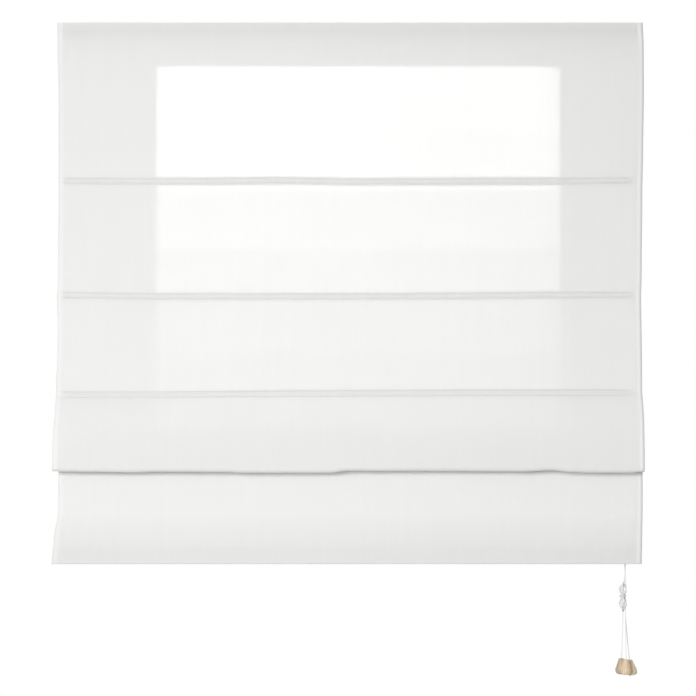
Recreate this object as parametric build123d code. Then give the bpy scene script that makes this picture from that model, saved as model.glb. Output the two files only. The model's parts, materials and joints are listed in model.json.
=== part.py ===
from build123d import *
import math
import os

# Roman blind, part raised, with its head rail, cord lock, cord guides, rods, rings and pull cords.
# Millimetres. +X is to the right seen from the room, -Y faces the room, +Z is up.
# The wall is the plane Y = 0. The origin is the centre of the four wall screw holes.

# ---- driving dimensions -------------------------------------------------------------------------

BLIND_WIDTH = 1000.0        # cloth, edge to edge
BLIND_DROP = 930.0          # top of the cloth to the bottom of the hem, as raised

# places down the cloth, measured from its top, and how far each stands forward of the rail's front
ROD_DROPS = (273.0, 471.0, 641.0)
ROD_FORWARDS = (2.0, 7.0, 14.0)
HIDDEN_ROD_BELOW = 55.0     # fourth rod, under the third
FOLD_DROP = 771.0           # lowest point of the hanging fold
FOLD_FORWARD = 52.0
FOLD_ROLL_R = 7.0           # middle of the cloth, round the bottom of the fold
BELLY_ABOVE_ROD = 75.0      # the panel over the third rod hangs fullest here
BELLY_FORWARD = 13.0
HEM_FORWARD = 20.0

CLOTH_T = 0.8
ROD_R = 2.25
ROD_CAP_T = 0.6             # wall of the plastic cap on a rod's end
ROD_CAP_LENGTH = 14.0
ROD_CAP_END_T = 1.5
ROD_INSET = 9.0             # rod's capped end to the cloth's edge
HEM_BAR_WIDTH = 20.0
HEM_BAR_T = 2.5
HEM_BAR_EDGE_R = 1.0
HEM_BAR_INSET = 8.0
SOFT_GAP = 0.3              # cloth and thread to the hard pieces they hold

# head rail, an open-bottomed extrusion
RAIL_DEPTH = 30.0
RAIL_HEIGHT = 26.0
RAIL_WALL = 1.4
RAIL_CORNER_R = 0.5
RAIL_SHORT = 4.0            # rail's end to the cloth's edge
RAIL_MOUTH = 18.0           # opening along the bottom
MOUTH_BEHIND_FRONT = 15.0   # rail's front to the middle of its mouth and of its T-slot
RAIL_LIP = 2.0              # upturned lip beside the mouth
RAIL_LIP_T = 1.2
T_SLOT_WIDTH = 16.0
T_SLOT_DEPTH = 3.4
T_SLOT_MOUTH = 8.0
RAIL_TO_WALL = 2.0
END_CAP_T = 2.0
END_CAP_EDGE_R = 0.8
END_CAP_PLUG = 5.0
PLUG_GAP = 0.3

# hook and loop tapes
TAPE_T = 1.2
TAPE_HEIGHT = 20.0
TAPE_BELOW_TOP = 4.0        # from the top of the cloth
TAPE_INSET = 5.0            # tape's end to the cloth's edge
CLOTH_BELOW_TAPE = 2.0      # where the cloth starts to lean forward, under the tapes

# brackets and their slot screws
BRACKET_T = 1.5
BRACKET_WIDTH = 25.0
BRACKET_REACH = 28.0
BRACKET_LEG = 27.0
BRACKET_INSET = 100.0       # bracket's centre to the cloth's edge
WALL_HOLE_R = 2.25
WALL_HOLE_PITCH = 12.0
PLATE_ABOVE_HOLE = 8.0      # bracket's plate over the upper wall holes
CLOTH_OVER_BRACKET = 0.5    # cloth's top above the bracket's plate
SCREW_R = 2.0
SCREW_HEAD_R = 3.5
SCREW_HEAD_T = 1.8
SCREW_HEAD_SIDE = 1.08      # upright side of the head, under its cone
SCREW_HEAD_FACE_R = 2.625   # flat top of the head
SCREW_POINT = 0.5           # chamfer at the screw's end
SCREW_LENGTH = 5.4          # under the head
SCREW_DRIVE = 2.0           # side of the square drive recess
SCREW_HOLE_GAP = 0.25       # in the bracket
THREAD_GAP = 0.05           # in the slide nut
NUT_LENGTH = 20.0
NUT_WIDTH = 14.0
NUT_T = 2.8
NUT_CORNER = 1.5

# rollers, their pins and the cord guides
ROLLER_R = 5.0
ROLLER_FLANGE_R = 6.4
ROLLER_FLANGE_T = 1.2
ROLLER_FLANGE_SLOPE = 0.6   # flange's inner side, along the axis
PIN_R = 1.5
PIN_GAP = 0.05              # running clearance of a roller on its pin, and of the pin in its cheeks
ROLLER_SIDE_GAP = 0.3
ROLLER_BELOW_SLOT = 7.8     # roller's axis under the rail's T-slot floor
CHEEK_T = 2.2
HOUSING_GAP = 0.3           # housing to the rail's mouth
GUIDE_LENGTH = 28.0
GUIDE_WALL = 2.0
GUIDE_FLANGE = 3.0          # flange beyond the body, all round
GUIDE_FLANGE_T = 1.5
GUIDE_FLANGE_CORNER_R = 2.4
GUIDE_TOP = 3.5             # top of the cheeks over the roller's axis
SNAP_REACH = 2.0
SNAP_HEIGHT = 2.5
SNAP_LENGTH = 10.0
SNAP_GAP = 0.2
CORD_HOLE_LONG = 9.0        # along Y, for any of the three cords
CORD_HOLE_SHORT = 4.4
LIFT_LINE_INSET = 150.0     # outer lift cords to the cloth's edge

# cord lock
LOCK_INSET = 24.0           # pull cords to the cloth's edge
LOCK_LEFT = 20.0            # body, each side of the pull cords
LOCK_RIGHT = 13.0
LOCK_NOSE = 8.0             # below the rail
LOCK_NOSE_R = 1.2
LOCK_ROLLER_R = 4.0
LOCK_ROLLER_ABOVE_FLOOR = 1.5
LOCK_PIN_R = 1.25
LOCK_SLOT_GAP = 0.15
LOCK_TRAVEL = 3.0
LOCK_SLOPE = 30.0           # degrees from upright, rising away from the cords
LOCK_PIN_SHORT = 0.5        # inside the cheek's outer face
LOCK_JAW_T = 2.4
LOCK_JAW_GAP = 0.3          # cords to the fixed jaw, and to the lock roller
KNURL_COUNT = 24
KNURL_DEPTH = 0.35

# rings
RING_R = 4.2                # middle of the ring's wire
RING_WIRE_R = 0.8

# cords
CORD_R = 0.7
CORD_PITCH = 2.4            # the three cords lie side by side at the lock
CORD_ROLLER_GAP = 0.3

# hank and acorns
HANK_DROP = 957.0           # top of the hank, from the top of the cloth
HANK_HEIGHT = 53.0
HANK_WIDTH = 17.0
HANK_DEPTH = 12.0
HANK_ASIDE = 4.5            # middle of the hank, to the left of the pull cords
HANK_END = 0.8              # breadth of the hank's flat ends, as a share of its full breadth
# how far down the hank each breadth lies, as shares of its height and its full breadth
HANK_BREADTHS = ((0.0, HANK_END), (0.3, 1.0), (0.7, 0.92), (1.0, HANK_END))
ACORN_R = 9.3
ACORN_TOP_R = 5.0
ACORN_HEIGHT = 26.6
ACORN_WIDEST = 0.74         # how far down the acorn is widest, as a share of its height
ACORN_BRIM_R = 1.2          # rounding round the acorn's top
ACORN_FOOT_R = 5.58         # flat ring the recess opens in
# where the acorn's straight side ends: shares of its way down and out to the widest place
ACORN_SIDE_END = (0.68, 0.72)
ACORN_HOLE_R = 1.1
ACORN_POCKET_R = 3.4        # recess under the acorn that holds the knot
ACORN_POCKET_DEPTH = 8.0
CORD_KNOT_R = 2.4
KNOT_GAP = 0.1
CORD_SETTLES = 14.0         # length of cord that still hangs upright under the hank
BEND_SHARE = 0.45           # of its shorter run, for the radius of a bend in a cord
# where each cord leaves the hank, from the line of the pull cords: (to the right, towards the wall)
HANK_EXITS = {"left": (-4.0, 1.0), "middle": (-0.6, -2.0), "right": (0.6, 2.0)}
# middle of each acorn's top: (to the right, towards the wall, down from the cloth's top)
ACORN_TOPS = {
    "left": (-7.2, 4.6, 1098.5),
    "middle": (0.0, -9.9, 1098.0),
    "right": (8.4, 4.8, 1100.0),
}

# ---- places worked out from the driving dimensions ----------------------------------------------

HALF = BLIND_WIDTH / 2
BRACKET_X = HALF - BRACKET_INSET
BRACKET_TOP = WALL_HOLE_PITCH / 2 + PLATE_ABOVE_HOLE
CLOTH_TOP = BRACKET_TOP + CLOTH_OVER_BRACKET
RAIL_TOP = BRACKET_TOP - BRACKET_T
RAIL_BOTTOM = RAIL_TOP - RAIL_HEIGHT
RAIL_BACK = -RAIL_TO_WALL
RAIL_FRONT = RAIL_BACK - RAIL_DEPTH
MOUTH_Y = RAIL_FRONT + MOUTH_BEHIND_FRONT
RAIL_HALF = HALF - RAIL_SHORT
SLOT_FLOOR = RAIL_TOP - RAIL_WALL - T_SLOT_DEPTH      # top face of the T-slot's floor
CAVITY_TOP = SLOT_FLOOR - RAIL_WALL
LIP_TOP = RAIL_BOTTOM + RAIL_WALL + RAIL_LIP

CLOTH_Y = RAIL_FRONT - 2 * TAPE_T - CLOTH_T / 2       # middle of the cloth where the tapes hold it
POCKET_R = ROD_R + ROD_CAP_T + SOFT_GAP + CLOTH_T / 2  # middle of the cloth round a rod
RING_BEHIND = POCKET_R + CLOTH_T / 2 + SOFT_GAP + RING_WIRE_R + RING_R

ROLLER_Z = CAVITY_TOP - ROLLER_BELOW_SLOT
CORD_BEND_R = ROLLER_R + CORD_ROLLER_GAP + CORD_R     # middle of the cord, round a roller
CORD_RUN_Z = ROLLER_Z + CORD_BEND_R
LOCK_X = HALF - LOCK_INSET
LIFT_X = {"left": -HALF + LIFT_LINE_INSET, "middle": 0.0, "right": HALF - LIFT_LINE_INSET}
CORD_Y = {
    "left": MOUTH_Y - CORD_PITCH,
    "middle": MOUTH_Y,
    "right": MOUTH_Y + CORD_PITCH,
}
HOUSING_HALF = RAIL_MOUTH / 2 - HOUSING_GAP
CHEEK_INNER = HOUSING_HALF - CHEEK_T
ROLLER_HALF = CHEEK_INNER - ROLLER_SIDE_GAP
LOCK_BOTTOM = RAIL_BOTTOM - LOCK_NOSE


def down(drop):
    """Height of a point this far below the top of the cloth."""
    return CLOTH_TOP - drop


# middle of each rod: the cloth's line passes in front of the first three and over the fourth
ROD_PLACES = [
    (CLOTH_Y - forward + POCKET_R, down(drop)) for drop, forward in zip(ROD_DROPS, ROD_FORWARDS)
]
ROD_PLACES.append((ROD_PLACES[-1][0], down(ROD_DROPS[-1] + HIDDEN_ROD_BELOW)))
FOLD_CENTRE = (
    CLOTH_Y - FOLD_FORWARD + FOLD_ROLL_R,
    down(FOLD_DROP) + FOLD_ROLL_R + CLOTH_T / 2,
)
HEM_POCKET_HEIGHT = HEM_BAR_WIDTH + 2 * SOFT_GAP
HEM_POCKET_DEPTH = HEM_BAR_T + 2 * SOFT_GAP
HEM_Y = CLOTH_Y - HEM_FORWARD                          # middle of the cloth in front of the hem bar
HEM_BAR_Y = HEM_Y + (CLOTH_T + HEM_POCKET_DEPTH) / 2
HEM_BAR_Z = down(BLIND_DROP) + CLOTH_T + HEM_POCKET_HEIGHT / 2
HEM_TOP = HEM_BAR_Z + HEM_POCKET_HEIGHT / 2


# ---- helpers ------------------------------------------------------------------------------------

os.makedirs("parts", exist_ok=True)


def save(name, shape):
    """Write one node's solids to its own STEP file."""
    export_step(shape, f"parts/{name}.step")


def block(low, high):
    """A box from its lowest corner to its highest."""
    size = [b - a for a, b in zip(low, high)]
    return Pos(*low) * Box(*size, align=(Align.MIN, Align.MIN, Align.MIN))


def bar_along_x(outline, length, start):
    """A solid of one section, drawn in Y and Z, running along X."""
    return extrude(Plane.YZ.offset(start) * outline, length)


def rod_along_y(radius, x, z, half, middle=MOUTH_Y):
    """A round rod lying along Y, given by the middle of its length."""
    return Pos(x, middle, z) * Rot(90, 0, 0) * Cylinder(radius, 2 * half)


def turned(points):
    """A solid turned about Z from a closed outline of radius and height."""
    return revolve(Plane.XZ * make_face(Polyline(*points, close=True)), Axis.Z)


def rect_between(y_low, y_high, z_low, z_high):
    """A rectangle in a section, given by its edges."""
    place = Pos((y_low + y_high) / 2, (z_low + z_high) / 2)
    return place * Rectangle(y_high - y_low, z_high - z_low)


def tube(path, radius):
    """A round cord swept along its path, with its volume checked against section times length."""
    section = Plane(origin=path @ 0, z_dir=path % 0) * Circle(radius)
    solid = sweep(section, path=path)
    expected = math.pi * radius**2 * path.length
    print(f"  length {path.length:.1f}, volume {solid.volume / expected:.4f} of section times length")
    return solid


# ---- cloth --------------------------------------------------------------------------------------

def belt_line(centre_a, radius_a, centre_b, radius_b):
    """Ends of the straight cloth from one roll to the next; a radius is minus where it turns right."""
    across = centre_b[0] - centre_a[0]
    up = centre_b[1] - centre_a[1]
    heading = math.atan2(up, across) - math.asin((radius_b - radius_a) / math.hypot(across, up))
    left = (-math.sin(heading), math.cos(heading))
    start = (centre_a[0] - radius_a * left[0], centre_a[1] - radius_a * left[1])
    end = (centre_b[0] - radius_b * left[0], centre_b[1] - radius_b * left[1])
    return start, end, heading


def cloth_line():
    """The middle of the cloth in Y and Z, from its top to the top of the hem pocket."""
    rod_points = [(y - POCKET_R, z) for y, z in ROD_PLACES[:3]]
    belly = (CLOTH_Y - BELLY_FORWARD, rod_points[2][1] + BELLY_ABOVE_ROD)
    top = (CLOTH_Y, CLOTH_TOP - CLOTH_T / 2)
    tape_end = (CLOTH_Y, CLOTH_TOP - TAPE_BELOW_TOP - TAPE_HEIGHT - CLOTH_BELOW_TAPE)
    panels = Polyline(top, tape_end, rod_points[0], rod_points[1], belly, rod_points[2])

    fold_front = (FOLD_CENTRE[0] - FOLD_ROLL_R, FOLD_CENTRE[1])
    front_leg = TangentArc(fold_front, rod_points[2], tangent=(0, 1))
    rear_start, rear_end, heading = belt_line(FOLD_CENTRE, FOLD_ROLL_R, ROD_PLACES[3], -POCKET_R)
    fold = ThreePointArc(
        fold_front, (FOLD_CENTRE[0], FOLD_CENTRE[1] - FOLD_ROLL_R), rear_start
    )
    rear_leg = Line(rear_start, rear_end)
    hem_start, hem_top, _ = belt_line(ROD_PLACES[3], -POCKET_R, (HEM_Y, HEM_TOP), 0.0)
    over_rod = ThreePointArc(rear_end, (ROD_PLACES[3][0], ROD_PLACES[3][1] + POCKET_R), hem_start)
    hem_panel = Line(hem_start, hem_top)
    return [panels, front_leg, fold, rear_leg, over_rod, hem_panel]


def cloth_strip(line):
    """Cloth of even thickness along one stretch of its line, with round ends."""
    half = CLOTH_T / 2
    strip = Sketch()
    for edge in line.edges():
        a, b = edge @ 0, edge @ 1
        if edge.geom_type == GeomType.LINE:
            run = b - a
            lean = Rot(0, 0, math.degrees(math.atan2(run.Y, run.X)))
            strip += Pos((a + b) / 2) * lean * Rectangle(run.length, CLOTH_T)
        else:
            strip += ring_sector(edge, half)
        strip += [Pos(a) * Circle(half), Pos(b) * Circle(half)]
    return strip


def ring_sector(arc, half):
    """The band this far each side of an arc."""
    centre, radius = arc.arc_center, arc.radius
    ends = [arc @ 0, arc @ 1]
    middle = arc @ 0.5

    def at(point, r):
        return centre + (point - centre).normalized() * r

    outer, inner = (
        ThreePointArc(at(ends[0], r), at(middle, r), at(ends[1], r)) for r in (radius + half, radius - half)
    )
    sides = [Line(outer @ 0, inner @ 0), Line(outer @ 1, inner @ 1)]
    return make_face([outer, inner, *sides])


def make_cloth():
    """One sheet: panels, rod pockets, the hanging fold and the hem with its bar pocket."""
    section = Sketch()
    flat_length = 0.0
    for line in cloth_line():
        section += cloth_strip(line)
        flat_length += line.length
    outer, inner = POCKET_R + CLOTH_T / 2, POCKET_R - CLOTH_T / 2
    for y, z in ROD_PLACES:
        section += Pos(y, z) * Circle(outer)
    for y, z in ROD_PLACES:
        section -= Pos(y, z) * Circle(inner)
    hem = Pos(HEM_BAR_Y, HEM_BAR_Z)
    section += hem * RectangleRounded(
        HEM_POCKET_DEPTH + 2 * CLOTH_T, HEM_POCKET_HEIGHT + 2 * CLOTH_T, 2 * CLOTH_T
    )
    section -= hem * Rectangle(HEM_POCKET_DEPTH, HEM_POCKET_HEIGHT)
    print(f"cloth, top to hem pocket along the sheet: {flat_length:.0f}")
    return bar_along_x(section, BLIND_WIDTH, -HALF)


# ---- rods, hem bar and rings --------------------------------------------------------------------

def make_rod(place):
    """A plain round rod."""
    half = HALF - ROD_INSET - ROD_CAP_END_T
    return bar_along_x(Pos(*place) * Circle(ROD_R), 2 * half, -half)


def make_rod_caps(place):
    """The two plastic caps pushed over a rod's ends."""
    half = HALF - ROD_INSET
    caps = []
    for side in (-1, 1):
        cap = bar_along_x(Pos(*place) * Circle(ROD_R + ROD_CAP_T), ROD_CAP_LENGTH, half - ROD_CAP_LENGTH)
        outer_end = cap.edges().sort_by(Axis.X)[-1]
        cap = fillet(outer_end, ROD_CAP_T)
        cap -= bar_along_x(
            Pos(*place) * Circle(ROD_R), ROD_CAP_LENGTH, half - ROD_CAP_LENGTH - ROD_CAP_END_T
        )
        caps.append(cap if side > 0 else mirror(cap, Plane.YZ))
    return Compound(caps)


def make_hem_bar():
    """Flat aluminium bar with rounded edges, in the bottom hem."""
    outline = Pos(HEM_BAR_Y, HEM_BAR_Z) * RectangleRounded(HEM_BAR_T, HEM_BAR_WIDTH, HEM_BAR_EDGE_R)
    half = HALF - HEM_BAR_INSET
    return bar_along_x(outline, 2 * half, -half)


def ring_centre(column, place):
    """Middle of the ring sewn behind a rod on one of the lift lines."""
    return (LIFT_X[column], place[0] + RING_BEHIND, place[1])


# ---- head rail, tapes and brackets --------------------------------------------------------------

def rail_outline(corner_r):
    """The rail's outside in its section, with corners of this radius."""
    middle = Pos((RAIL_BACK + RAIL_FRONT) / 2, (RAIL_TOP + RAIL_BOTTOM) / 2)
    return middle * RectangleRounded(RAIL_DEPTH, RAIL_HEIGHT, corner_r)


def make_rail():
    """The extrusion: open bottom with upturned lips, T-slot along the top."""
    web = T_SLOT_WIDTH / 2 + RAIL_WALL
    lip_in = RAIL_MOUTH / 2
    section = rail_outline(RAIL_CORNER_R)
    section -= rect_between(
        RAIL_FRONT + RAIL_WALL, RAIL_BACK - RAIL_WALL, RAIL_BOTTOM + RAIL_WALL, RAIL_TOP - RAIL_WALL
    )
    section += rect_between(MOUTH_Y - web, MOUTH_Y + web, CAVITY_TOP, RAIL_TOP - RAIL_CORNER_R)
    section -= rect_between(
        MOUTH_Y - T_SLOT_WIDTH / 2, MOUTH_Y + T_SLOT_WIDTH / 2, SLOT_FLOOR, RAIL_TOP - RAIL_WALL
    )
    section -= rect_between(
        MOUTH_Y - T_SLOT_MOUTH / 2, MOUTH_Y + T_SLOT_MOUTH / 2, SLOT_FLOOR, RAIL_TOP
    )
    section -= rect_between(MOUTH_Y - lip_in, MOUTH_Y + lip_in, RAIL_BOTTOM, LIP_TOP)
    for side in (-1, 1):
        lip = sorted((MOUTH_Y + side * lip_in, MOUTH_Y + side * (lip_in + RAIL_LIP_T)))
        section += rect_between(*lip, RAIL_BOTTOM + RAIL_WALL / 2, LIP_TOP)
    return bar_along_x(section, 2 * RAIL_HALF, -RAIL_HALF)


def make_end_cap(side):
    """Moulded cap: a flange over the rail's end and a plug inside it."""
    flange = bar_along_x(rail_outline(RAIL_WALL), END_CAP_T, RAIL_HALF)
    flange = fillet(flange.faces().sort_by(Axis.X)[-1].edges(), END_CAP_EDGE_R)
    plug = bar_along_x(
        rect_between(
            RAIL_FRONT + RAIL_WALL + PLUG_GAP,
            RAIL_BACK - RAIL_WALL - PLUG_GAP,
            LIP_TOP + PLUG_GAP,
            CAVITY_TOP - PLUG_GAP,
        ),
        END_CAP_PLUG,
        RAIL_HALF - END_CAP_PLUG,
    )
    cap = flange + plug
    return cap if side > 0 else mirror(cap, Plane.YZ)


def make_tape(front):
    """Flat tape the length of the rail; front is the Y of its room side."""
    half = HALF - TAPE_INSET
    top = CLOTH_TOP - TAPE_BELOW_TOP
    return block((-half, front, top - TAPE_HEIGHT), (half, front + TAPE_T, top))


def make_bracket(x):
    """Pressed steel angle: a plate over the rail and a leg behind it with two wall holes."""
    inner_r, outer_r = RAIL_CORNER_R, RAIL_CORNER_R + BRACKET_T
    with BuildLine() as outline:
        Polyline(
            (0, BRACKET_TOP),
            (-BRACKET_REACH, BRACKET_TOP),
            (-BRACKET_REACH, RAIL_TOP),
            (-BRACKET_T, RAIL_TOP),
            (-BRACKET_T, BRACKET_TOP - BRACKET_LEG),
            (0, BRACKET_TOP - BRACKET_LEG),
            close=True,
        )
    bracket = bar_along_x(make_face(outline.line), BRACKET_WIDTH, x - BRACKET_WIDTH / 2)
    along = bracket.edges().filter_by(Axis.X)
    inner = along.sort_by(lambda e: (e.center() - Vector(x, -BRACKET_T, RAIL_TOP)).length)[0]
    bracket = fillet(inner, inner_r)
    along = bracket.edges().filter_by(Axis.X)
    outer = along.sort_by(lambda e: (e.center() - Vector(x, 0, BRACKET_TOP)).length)[0]
    bracket = fillet(outer, outer_r)
    for z in (-WALL_HOLE_PITCH / 2, WALL_HOLE_PITCH / 2):
        bracket -= rod_along_y(WALL_HOLE_R, x, z, 2 * BRACKET_T, 0.0)
    bracket -= Pos(x, MOUTH_Y, BRACKET_TOP) * Cylinder(SCREW_R + SCREW_HOLE_GAP, 4 * BRACKET_T)
    return bracket


def make_slot_screw(x):
    """Screw through the bracket's plate into the slide nut, with a square drive."""
    under = BRACKET_TOP
    screw = turned(
        [
            (0, under - SCREW_LENGTH),
            (SCREW_R - SCREW_POINT, under - SCREW_LENGTH),
            (SCREW_R, under - SCREW_LENGTH + SCREW_POINT),
            (SCREW_R, under),
            (SCREW_HEAD_R, under),
            (SCREW_HEAD_R, under + SCREW_HEAD_SIDE),
            (SCREW_HEAD_FACE_R, under + SCREW_HEAD_T),
            (0, under + SCREW_HEAD_T),
        ]
    )
    recess = Box(SCREW_DRIVE, SCREW_DRIVE, SCREW_HEAD_T)
    screw -= Pos(0, 0, under + SCREW_HEAD_T) * recess
    return Pos(x, MOUTH_Y, 0) * screw


def make_slide_nut(x):
    """Plate nut that slides in the rail's T-slot."""
    top = RAIL_TOP - RAIL_WALL
    nut = Pos(x, MOUTH_Y, top - NUT_T / 2) * Box(NUT_LENGTH, NUT_WIDTH, NUT_T)
    nut = chamfer(nut.edges().filter_by(Axis.Z), NUT_CORNER)
    return nut - Pos(x, MOUTH_Y, top) * Cylinder(SCREW_R + THREAD_GAP, 4 * NUT_T)


# ---- rollers, guides and cord lock --------------------------------------------------------------

def make_roller(x):
    """Flanged roller, turned about Y, bored for its pin."""
    barrel = ROLLER_HALF - ROLLER_FLANGE_T
    bore = PIN_R + PIN_GAP
    roller = turned(
        [
            (bore, -ROLLER_HALF),
            (ROLLER_FLANGE_R, -ROLLER_HALF),
            (ROLLER_FLANGE_R, -barrel - ROLLER_FLANGE_SLOPE),
            (ROLLER_R, -barrel),
            (ROLLER_R, barrel),
            (ROLLER_FLANGE_R, barrel + ROLLER_FLANGE_SLOPE),
            (ROLLER_FLANGE_R, ROLLER_HALF),
            (bore, ROLLER_HALF),
        ]
    )
    return Pos(x, MOUTH_Y, ROLLER_Z) * Rot(90, 0, 0) * roller


def roller_x(line_x):
    """Axis of the roller that turns a cord rising on this line towards the lock."""
    return line_x + CORD_BEND_R


def cord_hole(x, z_low, z_high):
    """Round-ended hole, long in Y, for the cords at one lift line."""
    outline = Pos(x, MOUTH_Y) * SlotOverall(CORD_HOLE_LONG, CORD_HOLE_SHORT, rotation=90)
    return extrude(Plane.XY.offset(z_low) * outline, z_high - z_low)


def snaps(x):
    """Two sprung shoulders that hold a housing above the rail's lips."""
    low = LIP_TOP + SNAP_GAP
    shapes = []
    for side in (-1, 1):
        face = MOUTH_Y + side * HOUSING_HALF
        tip = face + side * SNAP_REACH
        wedge = make_face(Polyline((face, low), (tip, low), (face, low + SNAP_HEIGHT), close=True))
        shapes.append(bar_along_x(wedge, SNAP_LENGTH, x - SNAP_LENGTH / 2))
    return shapes


def flange_plate(low_x, high_x):
    """Flange under the rail, round a housing, with eased corners."""
    plate = block(
        (low_x - GUIDE_FLANGE, MOUTH_Y - HOUSING_HALF - GUIDE_FLANGE, RAIL_BOTTOM - GUIDE_FLANGE_T),
        (high_x + GUIDE_FLANGE, MOUTH_Y + HOUSING_HALF + GUIDE_FLANGE, RAIL_BOTTOM),
    )
    return fillet(plate.edges().filter_by(Axis.Z), GUIDE_FLANGE_CORNER_R)


def make_guide(line_x):
    """Housing of one cord guide: cheeks for the roller's pin, a floor with the cord's hole."""
    x = roller_x(line_x)
    low_x, high_x = x - GUIDE_LENGTH / 2, x + GUIDE_LENGTH / 2
    top = ROLLER_Z + GUIDE_TOP
    body = block((low_x, MOUTH_Y - HOUSING_HALF, RAIL_BOTTOM), (high_x, MOUTH_Y + HOUSING_HALF, top))
    body += flange_plate(low_x, high_x)
    floor = RAIL_BOTTOM + GUIDE_WALL
    body -= block(
        (low_x + GUIDE_WALL, MOUTH_Y - CHEEK_INNER, floor),
        (high_x - GUIDE_WALL, MOUTH_Y + CHEEK_INNER, top),
    )
    body -= cord_hole(line_x, RAIL_BOTTOM - 2 * GUIDE_FLANGE_T, floor)
    body -= rod_along_y(PIN_R + PIN_GAP, x, ROLLER_Z, HOUSING_HALF)
    for snap in snaps(x):
        body += snap
    return body


def make_pin(x):
    """Steel pin across a housing, flush with its cheeks."""
    return rod_along_y(PIN_R, x, ROLLER_Z, HOUSING_HALF)


LOCK_FLOOR = LOCK_BOTTOM + GUIDE_WALL
LOCK_ROLLER_X = LOCK_X + CORD_R + LOCK_JAW_GAP + LOCK_ROLLER_R
LOCK_ROLLER_Z = LOCK_FLOOR + LOCK_ROLLER_ABOVE_FLOOR + LOCK_ROLLER_R
LOCK_GUIDE_X = LOCK_X - CORD_BEND_R


def lock_shift(travel):
    """Place of the lock roller's axis after this much travel, in X and Z."""
    slope = math.radians(LOCK_SLOPE)
    return LOCK_ROLLER_X + travel * math.sin(slope), LOCK_ROLLER_Z + travel * math.cos(slope)


def make_lock():
    """Cord lock housing: guide roller cheeks, fixed jaw, slanted slots and a mouth for three cords."""
    low_x, high_x = LOCK_X - LOCK_LEFT, LOCK_X + LOCK_RIGHT
    top = ROLLER_Z + GUIDE_TOP
    low_y, high_y = MOUTH_Y - HOUSING_HALF, MOUTH_Y + HOUSING_HALF
    nose_left = LOCK_X - LOCK_JAW_GAP - CORD_R - LOCK_JAW_T - GUIDE_WALL
    body = block((low_x, low_y, RAIL_BOTTOM), (high_x, high_y, top))
    body += flange_plate(low_x, high_x)
    nose = block((nose_left, low_y, LOCK_BOTTOM), (high_x, high_y, RAIL_BOTTOM))
    body += fillet(nose.faces().sort_by(Axis.Z)[0].edges(), LOCK_NOSE_R)
    inner = (MOUTH_Y - CHEEK_INNER, MOUTH_Y + CHEEK_INNER)
    upper_floor = RAIL_BOTTOM + GUIDE_WALL
    body -= block((low_x + GUIDE_WALL, inner[0], upper_floor), (high_x - GUIDE_WALL, inner[1], top))
    body -= block(
        (nose_left + GUIDE_WALL, inner[0], LOCK_FLOOR), (high_x - GUIDE_WALL, inner[1], upper_floor)
    )
    jaw_face = LOCK_X - LOCK_JAW_GAP - CORD_R
    jaw_top = ROLLER_Z - ROLLER_FLANGE_R - 2 * ROLLER_SIDE_GAP
    body += block((jaw_face - LOCK_JAW_T, inner[0], LOCK_FLOOR), (jaw_face, inner[1], jaw_top))
    body -= cord_hole(LOCK_X, LOCK_BOTTOM, LOCK_FLOOR)
    body -= rod_along_y(PIN_R + PIN_GAP, LOCK_GUIDE_X, ROLLER_Z, HOUSING_HALF)
    slot_r = LOCK_PIN_R + LOCK_SLOT_GAP
    start, end = lock_shift(0.0), lock_shift(LOCK_TRAVEL)
    slot_middle = Pos((start[0] + end[0]) / 2, (start[1] + end[1]) / 2)
    slot = slot_middle * Rot(0, 0, 90 - LOCK_SLOPE) * SlotCenterToCenter(LOCK_TRAVEL, 2 * slot_r)
    body -= extrude(Plane.XZ.offset(-high_y) * slot, 2 * HOUSING_HALF)
    for snap in snaps(LOCK_X - LOCK_LEFT / 2):
        body += snap
    return body


def make_lock_roller():
    """Knurled roller that grips the cords: shallow straight grooves round a bored barrel."""
    outline = Circle(LOCK_ROLLER_R)
    for turn in range(KNURL_COUNT):
        angle = math.radians(360.0 * turn / KNURL_COUNT)
        place = Pos(LOCK_ROLLER_R * math.cos(angle), LOCK_ROLLER_R * math.sin(angle))
        outline -= place * Rot(0, 0, math.degrees(angle) + 45) * Rectangle(KNURL_DEPTH, KNURL_DEPTH)
    outline -= Circle(LOCK_PIN_R + PIN_GAP)
    roller = extrude(outline, 2 * ROLLER_HALF)
    return Pos(LOCK_ROLLER_X, MOUTH_Y + ROLLER_HALF, LOCK_ROLLER_Z) * Rot(90, 0, 0) * roller


# ---- cords --------------------------------------------------------------------------------------

def make_lift_cord(column):
    """From the knot in the lowest ring, straight up, over its roller, along the rail and into the lock."""
    x, y = LIFT_X[column], CORD_Y[column]
    knot = ring_centre(column, ROD_PLACES[3])
    points = [knot, (x, y, CORD_RUN_Z), (LOCK_X, y, CORD_RUN_Z), (LOCK_X, y, LOCK_BOTTOM)]
    path = FilletPolyline(*points, radius=[CORD_BEND_R, CORD_BEND_R])
    print(f"lift cord {column}: bends of radius {CORD_BEND_R:.1f}")
    return tube(path, CORD_R) + Pos(*knot) * Sphere(RING_R - RING_WIRE_R - SOFT_GAP)


HANK_TOP = down(HANK_DROP)
HANK_BOTTOM = HANK_TOP - HANK_HEIGHT


def make_upper_pull(column):
    """Straight hanging stretch from the lock's mouth to the hank."""
    y = CORD_Y[column]
    path = Line((LOCK_X, y, LOCK_BOTTOM), (LOCK_X, y, HANK_TOP))
    print(f"pull cord {column}, above the hank:")
    return tube(path, CORD_R)


def make_hank():
    """Outer shape of the cords tied up in one hank: a long barrel with flat ends."""
    ovals = Sketch()
    for share, breadth in HANK_BREADTHS:
        oval = Ellipse(HANK_WIDTH / 2 * breadth, HANK_DEPTH / 2 * breadth)
        ovals += Pos(LOCK_X - HANK_ASIDE, MOUTH_Y, HANK_TOP - share * HANK_HEIGHT) * oval
    return loft(ovals, ruled=False)


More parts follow.
